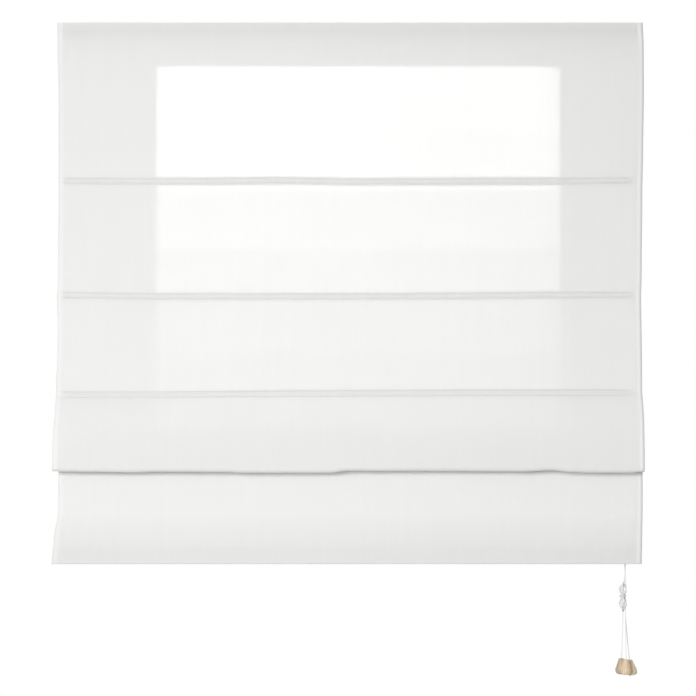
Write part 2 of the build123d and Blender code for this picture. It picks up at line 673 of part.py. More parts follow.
def hanging_line(column):
    """Points of one cord under the hank, and the acorn's top and direction, which follow its pull."""
    right, back = HANK_EXITS[column]
    start = Vector(LOCK_X + right, MOUTH_Y + back, HANK_BOTTOM)
    turn = start - Vector(0, 0, CORD_SETTLES)
    right, back, drop = ACORN_TOPS[column]
    top = Vector(LOCK_X + right, MOUTH_Y + back, down(drop))
    pull = (top - turn).normalized()
    knot = top + pull * (ACORN_HEIGHT - ACORN_POCKET_DEPTH + CORD_KNOT_R + KNOT_GAP)
    return [start, turn, knot], top, pull


def make_lower_pull(column):
    """From the hank's underside, fanning out to the knot inside the acorn."""
    runs, _, _ = hanging_line(column)
    turn = math.radians((runs[1] - runs[0]).get_angle(runs[2] - runs[1]))
    radius = BEND_SHARE * CORD_SETTLES / math.tan(turn / 2)
    print(f"pull cord {column}, below the hank: bend of radius {radius:.0f}")
    path = FilletPolyline(*runs, radius=[radius])
    return tube(path, CORD_R) + Pos(runs[2]) * Sphere(CORD_KNOT_R)


def make_acorn(column):
    """Turned wooden bell with a cord hole and a recess below for the knot."""
    _, top, pull = hanging_line(column)
    low, widest = -ACORN_HEIGHT, -ACORN_HEIGHT * ACORN_WIDEST
    shoulder = low + ACORN_POCKET_DEPTH
    brim = ACORN_BRIM_R
    side_down, side_out = ACORN_SIDE_END
    with BuildLine() as outline:
        Polyline(
            (ACORN_FOOT_R, low), (ACORN_POCKET_R, low), (ACORN_POCKET_R, shoulder),
            (ACORN_HOLE_R, shoulder), (ACORN_HOLE_R, 0), (ACORN_TOP_R - brim, 0),
        )
        ThreePointArc(
            (ACORN_TOP_R - brim, 0), (ACORN_TOP_R - 0.3 * brim, -0.3 * brim), (ACORN_TOP_R, -brim)
        )
        side = Line(
            (ACORN_TOP_R, -brim), (ACORN_TOP_R + side_out * (ACORN_R - ACORN_TOP_R), side_down * widest)
        )
        shoulder_arc = TangentArc(side @ 1, (ACORN_R, widest), tangent=side % 1)
        TangentArc(shoulder_arc @ 1, (ACORN_FOOT_R, low), tangent=shoulder_arc % 1)
    bell = revolve(Plane.XZ * make_face(outline.line), Axis.Z)
    return Plane(origin=top, z_dir=-pull) * bell


# ---- build every node ---------------------------------------------------------------------------

save("cloth", make_cloth())
save("hem_weight_bar", make_hem_bar())
for row, place in enumerate(ROD_PLACES, start=1):
    save(f"rod_{row}", make_rod(place))
    save(f"rod_{row}_end_caps", make_rod_caps(place))
    for column in LIFT_X:
        save(f"ring_{row}_{column}", Pos(*ring_centre(column, place)) * Torus(RING_R, RING_WIRE_R))

save("head_rail", make_rail())
save("rail_end_cap_left", make_end_cap(-1))
save("rail_end_cap_right", make_end_cap(1))
save("hook_tape", make_tape(RAIL_FRONT - TAPE_T))
save("loop_tape", make_tape(RAIL_FRONT - 2 * TAPE_T))
save("bracket_left", make_bracket(-BRACKET_X))
save("bracket_right", make_bracket(BRACKET_X))
save("slot_screws", Compound([make_slot_screw(-BRACKET_X), make_slot_screw(BRACKET_X)]))
save("slide_nuts", Compound([make_slide_nut(-BRACKET_X), make_slide_nut(BRACKET_X)]))

for column, line_x in LIFT_X.items():
    save(f"cord_guide_{column}", make_guide(line_x))
    save(f"guide_roller_{column}", make_roller(roller_x(line_x)))
    save(f"guide_pin_{column}", make_pin(roller_x(line_x)))
save("cord_lock_housing", make_lock())
save("lock_guide_roller", make_roller(LOCK_GUIDE_X))
save("lock_guide_pin", make_pin(LOCK_GUIDE_X))
save("lock_roller", make_lock_roller())
save(
    "lock_roller_pin",
    rod_along_y(LOCK_PIN_R, LOCK_ROLLER_X, LOCK_ROLLER_Z, HOUSING_HALF - LOCK_PIN_SHORT),
)

for column in LIFT_X:
    save(f"lift_cord_{column}", make_lift_cord(column))
    save(f"pull_cord_{column}_upper", make_upper_pull(column))
    save(f"pull_cord_{column}_lower", make_lower_pull(column))
    save(f"acorn_{column}", make_acorn(column))
save("cord_hank", make_hank())
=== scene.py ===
"""Roman blind, part raised: its cloth, seams, cords and acorns, and the finish of every hard piece.

Metres. +X is to the right seen from the room, -Y faces the room, +Z is up, and the wall is Y = 0.
"""
import json
import math

import bmesh
import bpy
import numpy as np
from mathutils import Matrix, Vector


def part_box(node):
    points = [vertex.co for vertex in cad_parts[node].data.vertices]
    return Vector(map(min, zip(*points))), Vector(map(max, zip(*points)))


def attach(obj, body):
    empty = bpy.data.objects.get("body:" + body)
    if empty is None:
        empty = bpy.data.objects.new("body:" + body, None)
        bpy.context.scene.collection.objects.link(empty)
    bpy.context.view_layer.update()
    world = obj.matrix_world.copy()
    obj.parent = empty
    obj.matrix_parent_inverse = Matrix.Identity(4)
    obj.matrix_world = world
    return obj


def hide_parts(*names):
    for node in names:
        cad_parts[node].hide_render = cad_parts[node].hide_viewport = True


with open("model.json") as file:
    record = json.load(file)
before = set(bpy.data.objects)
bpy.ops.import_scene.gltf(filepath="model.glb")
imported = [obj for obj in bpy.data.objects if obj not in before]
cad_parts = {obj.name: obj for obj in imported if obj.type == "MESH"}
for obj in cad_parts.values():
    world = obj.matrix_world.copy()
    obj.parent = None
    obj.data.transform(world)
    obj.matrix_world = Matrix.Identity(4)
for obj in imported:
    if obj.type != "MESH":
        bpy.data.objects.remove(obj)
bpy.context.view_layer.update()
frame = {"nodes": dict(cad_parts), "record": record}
nodes = frame["nodes"]

MM = 0.001
BODY = "blind"

# ---- places taken from the frame ----

CLOTH_LOW, CLOTH_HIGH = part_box("cloth")
HALF = CLOTH_HIGH.x
CLOTH_TOP = CLOTH_HIGH.z
TAPE_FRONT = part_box("loop_tape")[0].y
LOCK_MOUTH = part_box("cord_lock_housing")[0].z
HANK_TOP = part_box("cord_hank")[1].z
ROWS = (1, 2, 3, 4)
COLUMNS = ("left", "middle", "right")


def middle(node):
    """Centre of a CAD node's box."""
    low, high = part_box(node)
    return (low + high) / 2


RODS = [(middle(f"rod_{row}").y, middle(f"rod_{row}").z) for row in ROWS]
HEM_BAR_LOW, HEM_BAR_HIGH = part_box("hem_weight_bar")

# ---- cloth sizes ----

CLOTH_T = 0.36 * MM            # one layer
LAYER = 0.42 * MM              # from one layer to the next, where two lie together
POCKET_R = 3.55 * MM           # middle of the cloth, round a rod
TOP_HEM = 17.5 * MM
FOLD_DROP = 771.0 * MM         # lowest point of the hanging fold, from the cloth's top
FOLD_ROLL_R = 7.0 * MM
FOLD_INSIDE = 0.4 * MM         # from the CAD sheet's front and from the fold's lowest point
BELLY_ABOVE_ROD = 75.0 * MM
BELLY_BACK = 1.0 * MM          # behind the third rod's line
BELLY_BELOW = 7.0 * MM         # how far the lowest panel stands out in its middle
TAPE_GAP = 0.02 * MM
TOP_HEM_STEP = 8.0 * MM        # cloth under the top hem that goes back from two layers to one
HEM_GAP = 0.7 * MM             # from the weight bar to the middle of the cloth before and behind it
OVER_BAR = 0.3 * MM
BELOW_BAR_TOP = 1.0 * MM       # where the turned-up cloth leaves the bar's back
HEM_SEAM_ABOVE = 5.0 * MM      # over the bar
HEM_EDGE_ABOVE = 3.0 * MM      # over the seam
SIDE_HEM = 10.0 * MM
SEAM_OFF_ROD = 3.9 * MM        # each side of a rod, along the cloth
HIDDEN_SEAM_OFF = 3.0 * MM
SEAM_DEPTH = 1.5 * MM
SEAM_WIDTH = 1.0 * MM
SEAMS_MEET = 0.12              # share of their distance that a rod's two seams keep at its tips
ROD_SWELL = 0.3 * MM
ROD_SWELL_WIDTH = 2.0 * MM
POCKET_DIP = 0.35 * MM
POCKET_DIP_WIDTH = 11.0 * MM
PUCKERS = 0.03 * MM            # height of the gathers at the rods' seams
PUCKERS_AT_ENDS = 0.09 * MM    # and how much they grow towards the rods' ends
PUCKERS_GROW_FROM = 400.0 * MM
PUCKERS_GROW_OVER = 80.0 * MM
PUCKER_REACH = 9.0 * MM        # how far up and down the cloth they fade
HEM_PUCKERS = 0.05 * MM
HEM_PUCKER_REACH = 7.0 * MM
TOP_PUCKERS = 0.06 * MM
TOP_PUCKERS_AT = 15.0 * MM     # under the cloth's top
TOP_PUCKER_REACH = 8.0 * MM
PUCKER_WAVES = (3.1 * MM, 23.0 * MM, 5.3 * MM)
SIDE_GROOVE = 0.30 * MM
SIDE_GROOVE_WIDTH = 1.3 * MM
SIDE_GROOVE_FROM = 6.0 * MM    # under the cloth's top
SIDE_GROOVE_EASE = 20.0 * MM
POCKET_LEFT = 494.0 * MM       # where a rod's two seams end on the left, abruptly
POCKET_LEFT_TAPER = 3.0 * MM
POCKET_RIGHT = 489.0 * MM      # and on the right, where they close to a point
POCKET_RIGHT_TAPER = 16.0 * MM
STITCHED_HALF = 485.0 * MM
HEM_STITCHED_HALF = HALF - 3.0 * MM
TOP_SEAMS = (2.5 * MM, 15.5 * MM)
SIDE_HEM_FROM = 24.0 * MM      # from the cloth's top
SIDE_HEM_EDGE = 0.6 * MM       # inside the cloth's own edge
SIDE_STITCHES_FROM = 26.0 * MM
SIDE_STITCHES_X = HALF - SIDE_HEM + 0.8 * MM
WAVE_HEIGHTS = (0.9, 0.8, 0.9, 1.3, 1.2)             # of each panel, from the top, in millimetres
WAVE_LENGTHS = (92.0, 120.0, 75.0, 104.0, 135.0)
SLOW_PHASE = 1.7               # radians from one panel's slow wave to the next one's
QUICK_PHASE = 0.9
QUICK_HEIGHT = 0.4             # share of the slow wave's height, and of its length
QUICK_LENGTH = 0.37
FIRST_PANEL_FROM = 28.0 * MM   # under the cloth's top
CREASE_X = 440.0 * MM          # middle of the slanting crease over the bottom hem
CREASE_UP = 13.0 * MM          # its height over the cloth's lowest line
CREASE_REACH = 34.0 * MM
CREASE_WIDTH = 4.5 * MM
CREASE_SLANT = (0.30, 0.95)    # across and along the cloth
CREASE_RIDGE = 0.9 * MM
CREASE_RIDGE_OVER = 5.0 * MM   # the crease's middle line
CREASE_DIP = 0.3 * MM
CREASE_DIP_UNDER = 3.0 * MM
CREASE_ENDS = 6.0 * MM         # the stretch over the hem's turn where it eases to nothing
MITRE_RIDGE = 0.45 * MM
MITRE_SLOPE = 1.05
MITRE_WIDTH = 1.6 * MM
MITRE_REACH = 11.0 * MM


# ---- mesh helpers ----

def new_object(name, data):
    """A new object in the scene."""
    made = bpy.data.objects.new(name, data)
    bpy.context.scene.collection.objects.link(made)
    return made


def unit(vectors):
    """The same directions, of length 1."""
    return vectors / np.linalg.norm(vectors, axis=-1, keepdims=True)


def distances(points):
    """Distance along a path at each of its points."""
    steps = np.linalg.norm(np.diff(points, axis=0), axis=1)
    return np.concatenate([[0.0], np.cumsum(steps)])


def mesh_piece(name, points, faces, material, uv=None):
    """Put vertices and faces, as whole arrays, into a new piece of the blind."""
    mesh = bpy.data.meshes.new(name)
    mesh.from_pydata(points.reshape(-1, 3), [], faces.tolist())
    if uv is not None:
        layer = mesh.uv_layers.new(name="UVMap")
        corner = np.empty(len(mesh.loops), dtype=np.int32)
        mesh.loops.foreach_get("vertex_index", corner)
        layer.data.foreach_set("uv", uv.reshape(-1, 2)[corner].astype(np.float32).ravel())
    mesh.polygons.foreach_set("use_smooth", np.ones(len(mesh.polygons), bool))
    mesh.materials.append(material)
    mesh.update()
    piece = new_object(name, mesh)
    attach(piece, BODY)
    return piece


def grid_faces(rows, columns, closed=False):
    """Four-cornered faces of a grid, closed round its columns where asked."""
    row = np.arange(rows - 1)[:, None] * columns
    column = np.arange(columns if closed else columns - 1)[None, :]
    after = (column + 1) % columns
    corners = (row + column, row + columns + column, row + columns + after, row + after)
    return np.stack(corners, axis=-1).reshape(-1, 4)


def give_thickness(piece, thickness):
    """Solid cloth round the sheet's own middle surface."""
    solid = piece.modifiers.new("thickness", "SOLIDIFY")
    solid.thickness = thickness
    solid.offset = 0.0


def ease(t):
    """Smooth step from 0 to 1: three times the square less twice the cube."""
    t = np.clip(t, 0.0, 1.0)
    return t * t * (3.0 - 2.0 * t)


def bell(distance, width):
    """Smooth bump of height 1: e to the minus square of distance over width."""
    return np.exp(-((distance / width) ** 2))


def eased_through(x, knots):
    """Curve through pairs of place and height in millimetres, with an eased step from each pair to
    the next."""
    places, heights = np.array(knots).T * MM
    index = np.clip(np.searchsorted(places, x) - 1, 0, len(places) - 2)
    share = ease((x - places[index]) / (places[index + 1] - places[index]))
    return heights[index] + (heights[index + 1] - heights[index]) * share


# ---- the cloth's line in Y and Z ----

def straight(start, end):
    """Points along a straight stretch, a quarter of a millimetre apart."""
    start, end = np.array(start), np.array(end)
    count = max(2, int(np.linalg.norm(end - start) / (0.25 * MM)))
    return start + (end - start) * np.linspace(0.0, 1.0, count)[:, None]


def arc(centre, radius, start, end):
    """Points along an arc: the centre plus radius times cosine and sine of an angle in degrees."""
    angle = np.radians(np.linspace(start, end, 60))
    return np.array(centre) + radius * np.stack([np.cos(angle), np.sin(angle)], axis=-1)


def belt_line(centre_a, radius_a, centre_b, radius_b):
    """Straight cloth from one roll to the next, and its heading; a radius is minus where the cloth
    turns right."""
    across, up = centre_b[0] - centre_a[0], centre_b[1] - centre_a[1]
    heading = math.atan2(up, across) - math.asin((radius_b - radius_a) / math.hypot(across, up))
    left = np.array([-math.sin(heading), math.cos(heading)])
    start, end = np.array(centre_a) - radius_a * left, np.array(centre_b) - radius_b * left
    return start, end, math.degrees(heading)


def cloth_line():
    """The middle of the cloth, from the turned-in edge of the top hem to that of the bottom hem."""
    turn_r = LAYER / 2
    back_y = TAPE_FRONT - CLOTH_T / 2 - TAPE_GAP
    front_y = back_y - LAYER
    top_z = CLOTH_TOP - CLOTH_T / 2 - turn_r
    in_front = [(y - POCKET_R, z) for y, z in RODS[:3]]
    below_hem = (back_y, CLOTH_TOP - TOP_HEM - TOP_HEM_STEP)
    belly = (in_front[2][0] + BELLY_BACK, in_front[2][1] + BELLY_ABOVE_ROD)
    fold_front = CLOTH_LOW.y + FOLD_INSIDE
    fold = (fold_front + FOLD_ROLL_R, CLOTH_TOP - FOLD_DROP + FOLD_INSIDE + FOLD_ROLL_R)
    drop = in_front[2][1] - fold[1]
    reach = in_front[2][0] - fold_front
    leg_r = (drop**2 + reach**2) / (2 * reach)
    leg_start = 180.0 - math.degrees(math.asin(drop / leg_r))
    rear_start, rear_end, rear_heading = belt_line(fold, FOLD_ROLL_R, RODS[3], -POCKET_R)
    hem_front, hem_back = HEM_BAR_LOW.y - HEM_GAP, HEM_BAR_HIGH.y + HEM_GAP
    hem_top = HEM_BAR_HIGH.z + OVER_BAR
    hem_start, hem_end, hem_heading = belt_line(RODS[3], -POCKET_R, (hem_front, hem_top), 0.0)
    hem_r = (hem_back - hem_front) / 2
    hem_turn = (hem_front + hem_r, CLOTH_LOW.z + CLOTH_T / 2 + hem_r)
    leaves_bar = (hem_back, HEM_BAR_HIGH.z - BELOW_BAR_TOP)
    up_the_panel = unit(hem_start - hem_end)
    seam = hem_end + up_the_panel * HEM_SEAM_ABOVE + [LAYER, 0.0]
    edge = seam + up_the_panel * HEM_EDGE_ABOVE
    stretches = [
        straight((back_y, CLOTH_TOP - TOP_HEM), (back_y, top_z)),
        arc((back_y - turn_r, top_z), turn_r, 0.0, 180.0),
        straight((front_y, top_z), below_hem),
        straight(below_hem, in_front[0]),
        straight(in_front[0], in_front[1]),
        straight(in_front[1], belly),
        straight(belly, in_front[2]),
        arc((fold_front + leg_r, fold[1]), leg_r, leg_start, 180.0),
        arc(fold, FOLD_ROLL_R, 180.0, 270.0 + rear_heading),
        straight(rear_start, rear_end),
        arc(RODS[3], POCKET_R, rear_heading + 90.0, hem_heading + 90.0),
        straight(hem_start, hem_end),
        straight(hem_end, (hem_front, hem_turn[1])),
        arc(hem_turn, hem_r, 180.0, 360.0),
        straight((hem_back, hem_turn[1]), leaves_bar),
        straight(leaves_bar, seam),
        straight(seam, edge),
    ]
    lengths = [distances(stretch)[-1] for stretch in stretches]
    line = np.concatenate([stretches[0][:1]] + [stretch[1:] for stretch in stretches])
    return line, np.concatenate([[0.0], np.cumsum(lengths)])


LINE, ENDS = cloth_line()
ALONG = distances(LINE)
HEADING = unit(np.gradient(LINE, ALONG, axis=0))
S_TOP = (ENDS[1] + ENDS[2]) / 2
S_ROD = [ENDS[4], ENDS[5], ENDS[7]]
S_FOLD = ENDS[8] + FOLD_ROLL_R * math.pi / 2
S_WRAP = (ENDS[10] + ENDS[11]) / 2
S_HEM_SEAM = ENDS[12] - HEM_SEAM_ABOVE
S_BOTTOM = (ENDS[13] + ENDS[14]) / 2
S_END = ENDS[-1]
S_HIDDEN_SEAM = ENDS[11] + HIDDEN_SEAM_OFF

BOW_REACH = 45.0 * MM          # how far up and down the cloth a bow fades
FOLD_BOW_REACH = 40.0 * MM
SPREAD_FROM = 250.0 * MM       # from the middle of the blind, where its edges' runs start to be felt

# how far each rod's seams, and the fold's lowest line, lie above or below their straight places:
# (from the middle of the blind, up), in millimetres
ROD_BOWS = (
    ((-490, 0.2), (-400, -0.4), (-290, -0.6), (-110, 0.6), (10, -1.2), (150, -0.8), (260, -0.5),
     (360, -0.2), (490, 1.0)),
    ((-490, 1.4), (-460, 0.9), (-320, -0.8), (60, -0.9), (150, -0.3), (260, 0.8), (390, 1.9),
     (490, 1.6)),
    ((-490, 0.8), (-460, 0.6), (-300, 0.9), (-190, 1.8), (-80, 2.8), (100, 3.4), (260, 4.0),
     (490, 4.0)),
)
FOLD_BOW = (
    (-500, 1.6), (-480, 0.6), (-430, 0.0), (-366, -0.6), (-350, -0.6), (-336, 0.4), (-200, -0.1),
    (-185, -1.4), (-30, -1.4), (-8, 2.0), (10, 2.3), (40, 1.8), (150, 1.8), (260, 1.2), (300, 0.8),
    (334, 2.9), (345, 2.9), (375, -0.2), (410, -1.2), (475, -1.2), (500, 0.4),
)
# how far the side edges stand out past a straight edge: (down the cloth, left edge, right edge), in
# millimetres
EDGE_RUNS = (
    (0, 3.2, 3.4), (60, 3.0, 5.8), (140, 0.9, 6.0), (230, 0.9, 4.6), (330, 0.8, 2.8),
    (440, 1.2, 1.5), (500, 2.6, 0.1), (560, 1.0, 0.6), (650, 3.3, 1.1), (700, 3.0, 1.2),
    (750, 4.4, 0.2), (806, 4.9, -0.2), (862, -0.9, 1.9), (1034, -1.3, 1.0), (1090, 7.2, 0.2),
    (1125, 9.9, -0.6), (1300, 9.9, -0.6),
)


def rod_ends(x):
    """A mask that eases to nothing over the last of a rod's length."""
    left = ease((x + POCKET_LEFT) / POCKET_LEFT_TAPER)
    return left * ease((POCKET_RIGHT - x) / POCKET_RIGHT_TAPER)


def seam_relief(x, s):
    """Grooves at both seams of each rod, which close to a point at its tips, with the rod's swell
    between them and a soft dip above and below."""
    ends = rod_ends(x)
    apart = SEAM_OFF_ROD * (SEAMS_MEET + (1 - SEAMS_MEET) * ends)
    total = 0.0
    for station in S_ROD:
        off = s - station
        grooves = bell(off - apart, SEAM_WIDTH) + bell(off + apart, SEAM_WIDTH)
        swell = ROD_SWELL * bell(off, ROD_SWELL_WIDTH) - POCKET_DIP * bell(off, POCKET_DIP_WIDTH)
        total = total + (swell - SEAM_DEPTH * grooves) * ends
    return total


def seam_puckers(x, s):
    """Small gathers beside the seams: two waves across the blind that fade within a fingertip,
    stronger towards the rods' ends."""
    short, long, other = PUCKER_WAVES
    wave = np.sin(x / short) * np.sin(x / long + 1.0) + 0.6 * np.sin(x / other + 2.0)
    grown = ease((np.abs(x) - PUCKERS_GROW_FROM) / PUCKERS_GROW_OVER)
    strength = PUCKERS + PUCKERS_AT_ENDS * grown
    total = 0.0
    for station in S_ROD:
        total = total + strength * wave * bell(s - station, PUCKER_REACH)
    hem = HEM_PUCKERS * wave * bell(s - S_HEM_SEAM, HEM_PUCKER_REACH)
    return total + hem + TOP_PUCKERS * wave * bell(s - S_TOP - TOP_PUCKERS_AT, TOP_PUCKER_REACH)


def panel_share(s, start, end):
    """Arch of height 1 over one panel: the square of a half sine, and nothing outside it."""
    return np.sin(math.pi * np.clip((s - start) / (end - start), 0.0, 1.0)) ** 2


def panel_waves(x, s):
    """Slow waves across each panel: sums of two sines, arched over the panel so that its seams
    stay straight, and a belly in the lowest one."""
    tops = [S_TOP + FIRST_PANEL_FROM, *S_ROD, S_WRAP]
    bottoms = [*S_ROD, S_FOLD, S_HEM_SEAM]
    total = BELLY_BELOW * panel_share(s, S_WRAP, S_HEM_SEAM)
    for number, (height, length) in enumerate(zip(WAVE_HEIGHTS, WAVE_LENGTHS)):
        slow = np.sin(x / (length * MM) + SLOW_PHASE * number)
        quick = QUICK_HEIGHT * np.sin(x / (QUICK_LENGTH * length * MM) + QUICK_PHASE * number)
        arch = panel_share(s, tops[number], bottoms[number])
        total = total + height * MM * (slow + quick) * arch
    return total


def hem_creases(x, s):
    """A slanting crease near the bottom hem's right end, a ridge with a shallower dip beside it, and
    the ridge of the mitre in its left corner."""
    across, along = CREASE_SLANT
    slant = (x - CREASE_X) * across + (s - (S_BOTTOM - CREASE_UP)) * along
    reach = bell(x - CREASE_X, CREASE_REACH) * ease((S_BOTTOM - 1.0 * MM - s) / CREASE_ENDS)
    ridge = CREASE_RIDGE * bell(slant + CREASE_RIDGE_OVER, CREASE_WIDTH)
    dip = CREASE_DIP * bell(slant - CREASE_DIP_UNDER, CREASE_WIDTH)
    corner = x + HALF
    mitre = bell(corner - MITRE_SLOPE * (S_BOTTOM - s), MITRE_WIDTH) * bell(corner, MITRE_REACH)
    return ((ridge - dip) * reach + MITRE_RIDGE * mitre) * (s > S_WRAP)


def edge_relief(x, s):
    """Side hems: a shallow groove at each hem's inner stitches."""
    inner = HALF - SIDE_HEM
    under_top = ease((s - S_TOP - SIDE_GROOVE_FROM) / SIDE_GROOVE_EASE)
    over_hem = ease((S_BOTTOM - s) / SIDE_GROOVE_EASE)
    return -SIDE_GROOVE * bell(np.abs(x) - inner, SIDE_GROOVE_WIDTH) * (under_top * over_hem)


def cloth_point(x, s, behind=0.0):
    """Place on the cloth for a distance x across it and s along it: the cloth's line, plus its
    relief along the line's own normal, less how far behind the sheet the point is wanted."""
    x, s = np.broadcast_arrays(np.asarray(x, float), np.asarray(s, float))
    y, z = np.interp(s, ALONG, LINE[:, 0]), np.interp(s, ALONG, LINE[:, 1])
    run_y, run_z = np.interp(s, ALONG, HEADING[:, 0]), np.interp(s, ALONG, HEADING[:, 1])
    size = np.hypot(run_y, run_z)
    normal_y, normal_z = run_z / size, -run_y / size
    forms = (seam_relief, seam_puckers, panel_waves, hem_creases, edge_relief)
    relief = sum(form(x, s) for form in forms) - behind
    bow = 0.0
    for station, knots in zip(S_ROD, ROD_BOWS):
        bow = bow + eased_through(x, knots) * bell(s - station, BOW_REACH)
    bow = bow + eased_through(x, FOLD_BOW) * bell(s - S_FOLD, FOLD_BOW_REACH)
    runs = np.array(EDGE_RUNS)
    front = np.where(s < S_TOP, 2 * S_TOP - s, np.where(s > S_BOTTOM, 2 * S_BOTTOM - s, s))
    left, right = (eased_through(front, runs[:, [0, edge]]) for edge in (1, 2))
    felt = ease((np.abs(x) - SPREAD_FROM) / (HALF / 2))
    spread = np.sign(x) * np.where(x < 0, left, right) * felt
    return np.stack([x + spread, y + normal_y * relief, z + normal_z * relief + bow], axis=-1)


COLUMN_COUNT = 190
ROW_GAP = 17.0 * MM
LEAST_GAP = 0.12 * MM
# rows that lie close together: (place down the cloth, this far each side of it, apart)
ROW_WINDOWS = (
    (S_TOP, 1.2 * MM, 0.3 * MM),
    *((station, 8.0 * MM, 0.85 * MM) for station in S_ROD),
    (S_FOLD, 14.0 * MM, 1.7 * MM),
    (S_WRAP, 6.5 * MM, 0.9 * MM),
    (S_BOTTOM, 4.5 * MM, 0.8 * MM),
    (S_HEM_SEAM, 6.0 * MM, 2.0 * MM),
)


def cloth_rows():
    """Distances of the sheet's rows: wide apart on its panels, close at seams, turns and hems."""
    rows = [np.arange(0.0, S_END, ROW_GAP), [S_END]]
    rows += [np.arange(place - half, place + half, apart) for place, half, apart in ROW_WINDOWS]
    rows += [[ENDS[1] - 2 * MM, ENDS[2] + 2 * MM, ENDS[15], ENDS[16]]]
    joined = np.unique(np.round(np.concatenate(rows), 6))
    return joined[np.concatenate([[True], np.diff(joined) > LEAST_GAP])]


def sheet_piece(name, columns, rows, material, behind=0.0):
    """A stretch of cloth on the blind's own surface, or this far behind it."""
    x, s = np.meshgrid(columns, rows)
    points = cloth_point(x, s, behind)
    faces = grid_faces(len(rows), len(columns))
    piece = mesh_piece(name, points, faces, material, np.stack([x, s], axis=-1))
    give_thickness(piece, CLOTH_T)
    return piece


TUNNEL_HALF = HALF - 12.0 * MM
TUNNEL_COLUMNS = 90
TUNNEL_T = 0.3 * MM
TUNNEL_SLACK = 0.05 * MM
TUNNEL_HEIGHT = 26.0 * MM      # of its cloth, laid flat
FLAP_FROM = SEAM_OFF_ROD + 0.4 * MM
FLAP_TO = 8.0 * MM
AROUND_ROD = (68.0, -68.0)     # degrees, round a rod that the cloth passes in front of
AROUND_HIDDEN_ROD = (212.0, 338.0)


def rod_tunnel(name, number, material):
    """The strip that holds a rod: flat on the cloth's back at both seams and round the rod between."""
    columns = np.linspace(-TUNNEL_HALF, TUNNEL_HALF, TUNNEL_COLUMNS)
    flap = np.linspace(FLAP_TO, FLAP_FROM, 4)
    around = POCKET_R + TUNNEL_SLACK
    y, z = RODS[number]
    if number < 3:
        angles = np.radians(np.linspace(*AROUND_ROD, 14))
        first, last = S_ROD[number] - flap, S_ROD[number] + flap[::-1]
        lift = eased_through(columns, ROD_BOWS[number])
    else:
        angles = np.radians(np.linspace(*AROUND_HIDDEN_ROD, 14))
        first, last = ENDS[10] - flap + HIDDEN_SEAM_OFF, ENDS[11] + flap[::-1] - HIDDEN_SEAM_OFF
        lift = 0.0 * columns
    side = LAYER if number < 3 else -LAYER
    upper = cloth_point(columns[None, :], first[:, None], side)
    lower = cloth_point(columns[None, :], last[:, None], side)
    turn = np.empty((len(angles), len(columns), 3))
    turn[..., 0] = columns[None, :]
    turn[..., 1] = y + around * np.cos(angles)[:, None]
    turn[..., 2] = z + around * np.sin(angles)[:, None] + lift[None, :]
    points = np.concatenate([upper, turn, lower])
    height = np.linspace(0.0, TUNNEL_HEIGHT, len(points))
    uv = np.stack(np.broadcast_arrays(columns[None, :], height[:, None]), axis=-1)
    piece = mesh_piece(name, points, grid_faces(len(points), len(columns)), material, uv)
    give_thickness(piece, TUNNEL_T)
    return piece


# ---- sewing thread ----

STITCH_PITCH = 3.2 * MM
STITCH_LENGTH = 2.5 * MM
THREAD_R = 0.15 * MM
RING_THREAD_R = 0.18 * MM
RING_THREAD_BACK = 0.35 * MM   # middle of the loops, from a ring's front
RING_THREAD_HALF_DEPTH = 1.55 * MM
RING_THREAD_HALF_HEIGHT = 1.25 * MM
RING_THREAD_APART = 0.55 * MM
RING_THREAD_LEAN = 0.30 * MM


def stitch_centres(start, end):
    """Middles of the stitches from one end of a seam to the other."""
    return np.arange(start + STITCH_PITCH / 2, end, STITCH_PITCH)


def stitches(name, x, s, across, material):
    """Short stitches on the cloth: each a four-sided spindle, thick in the middle, whose ends dip
    into the cloth. across is 1 for a seam across the blind and 0 for one down its side."""
    stations = np.array([-0.5, -0.3, 0.0, 0.3, 0.5])
    thickness = THREAD_R * np.array([0.45, 0.95, 1.0, 0.95, 0.45])
    height = np.array([-0.10, 0.10, 0.16, 0.10, -0.10]) * MM
    run = STITCH_LENGTH * stations[None, :]
    along_x = x[:, None] + run * across
    along_s = s[:, None] + run * (1 - across)
    middle_line = cloth_point(along_x, along_s)
    normal = unit(cloth_point(along_x, along_s, -MM) - middle_line)
    beside = np.cross(unit(np.gradient(middle_line, axis=1)), normal)
    centre = middle_line + normal * (CLOTH_T / 2 + height[None, :, None])
    angle = np.radians([45.0, 135.0, 225.0, 315.0])
    ring = (
        np.cos(angle)[None, None, :, None] * beside[:, :, None, :]
        + np.sin(angle)[None, None, :, None] * normal[:, :, None, :]
    )
    points = centre[:, :, None, :] + thickness[None, :, None, None] * ring
    one = grid_faces(len(stations), len(angle), closed=True)
    last = (len(stations) - 1) * len(angle)
    one = np.concatenate([one, [[0, 1, 2, 3]], [[last + 3, last + 2, last + 1, last]]])
    faces = one[None] + (np.arange(len(x)) * len(stations) * len(angle))[:, None, None]
    return mesh_piece(name, points, faces.reshape(-1, 4), material)


def seam_across(name, s, half, material):
    """One seam across the blind at a distance s down the cloth."""
    x = stitch_centres(-half, half)
    return stitches(name, x, np.full(len(x), s), 1, material)


# ---- tubes, cords and knots ----

CORD_R = 0.7 * MM
WELD_WITHIN = 0.02 * MM
RING_KNOT_SIZE = 3.0 * MM
ACORN_KNOT_SIZE = 2.4 * MM
TIGHT_CORD_R = 0.6 * MM        # where the knot in an acorn pulls it thinner
DOME_SHARES = np.array([0.02, 0.5, 0.86])            # of the radius, in a cord's domed end


def sides_along(points):
    """Two unit sides at each point of a path, carried forward without twist."""
    heading = unit(np.gradient(points, axis=0))
    side = np.cross(heading[0], [0.3, 1.0, 0.2])
    sides = np.empty_like(points)
    for number, ahead in enumerate(heading):
        side = unit(side - ahead * np.dot(side, ahead))
        sides[number] = side
    return sides, np.cross(heading, sides)


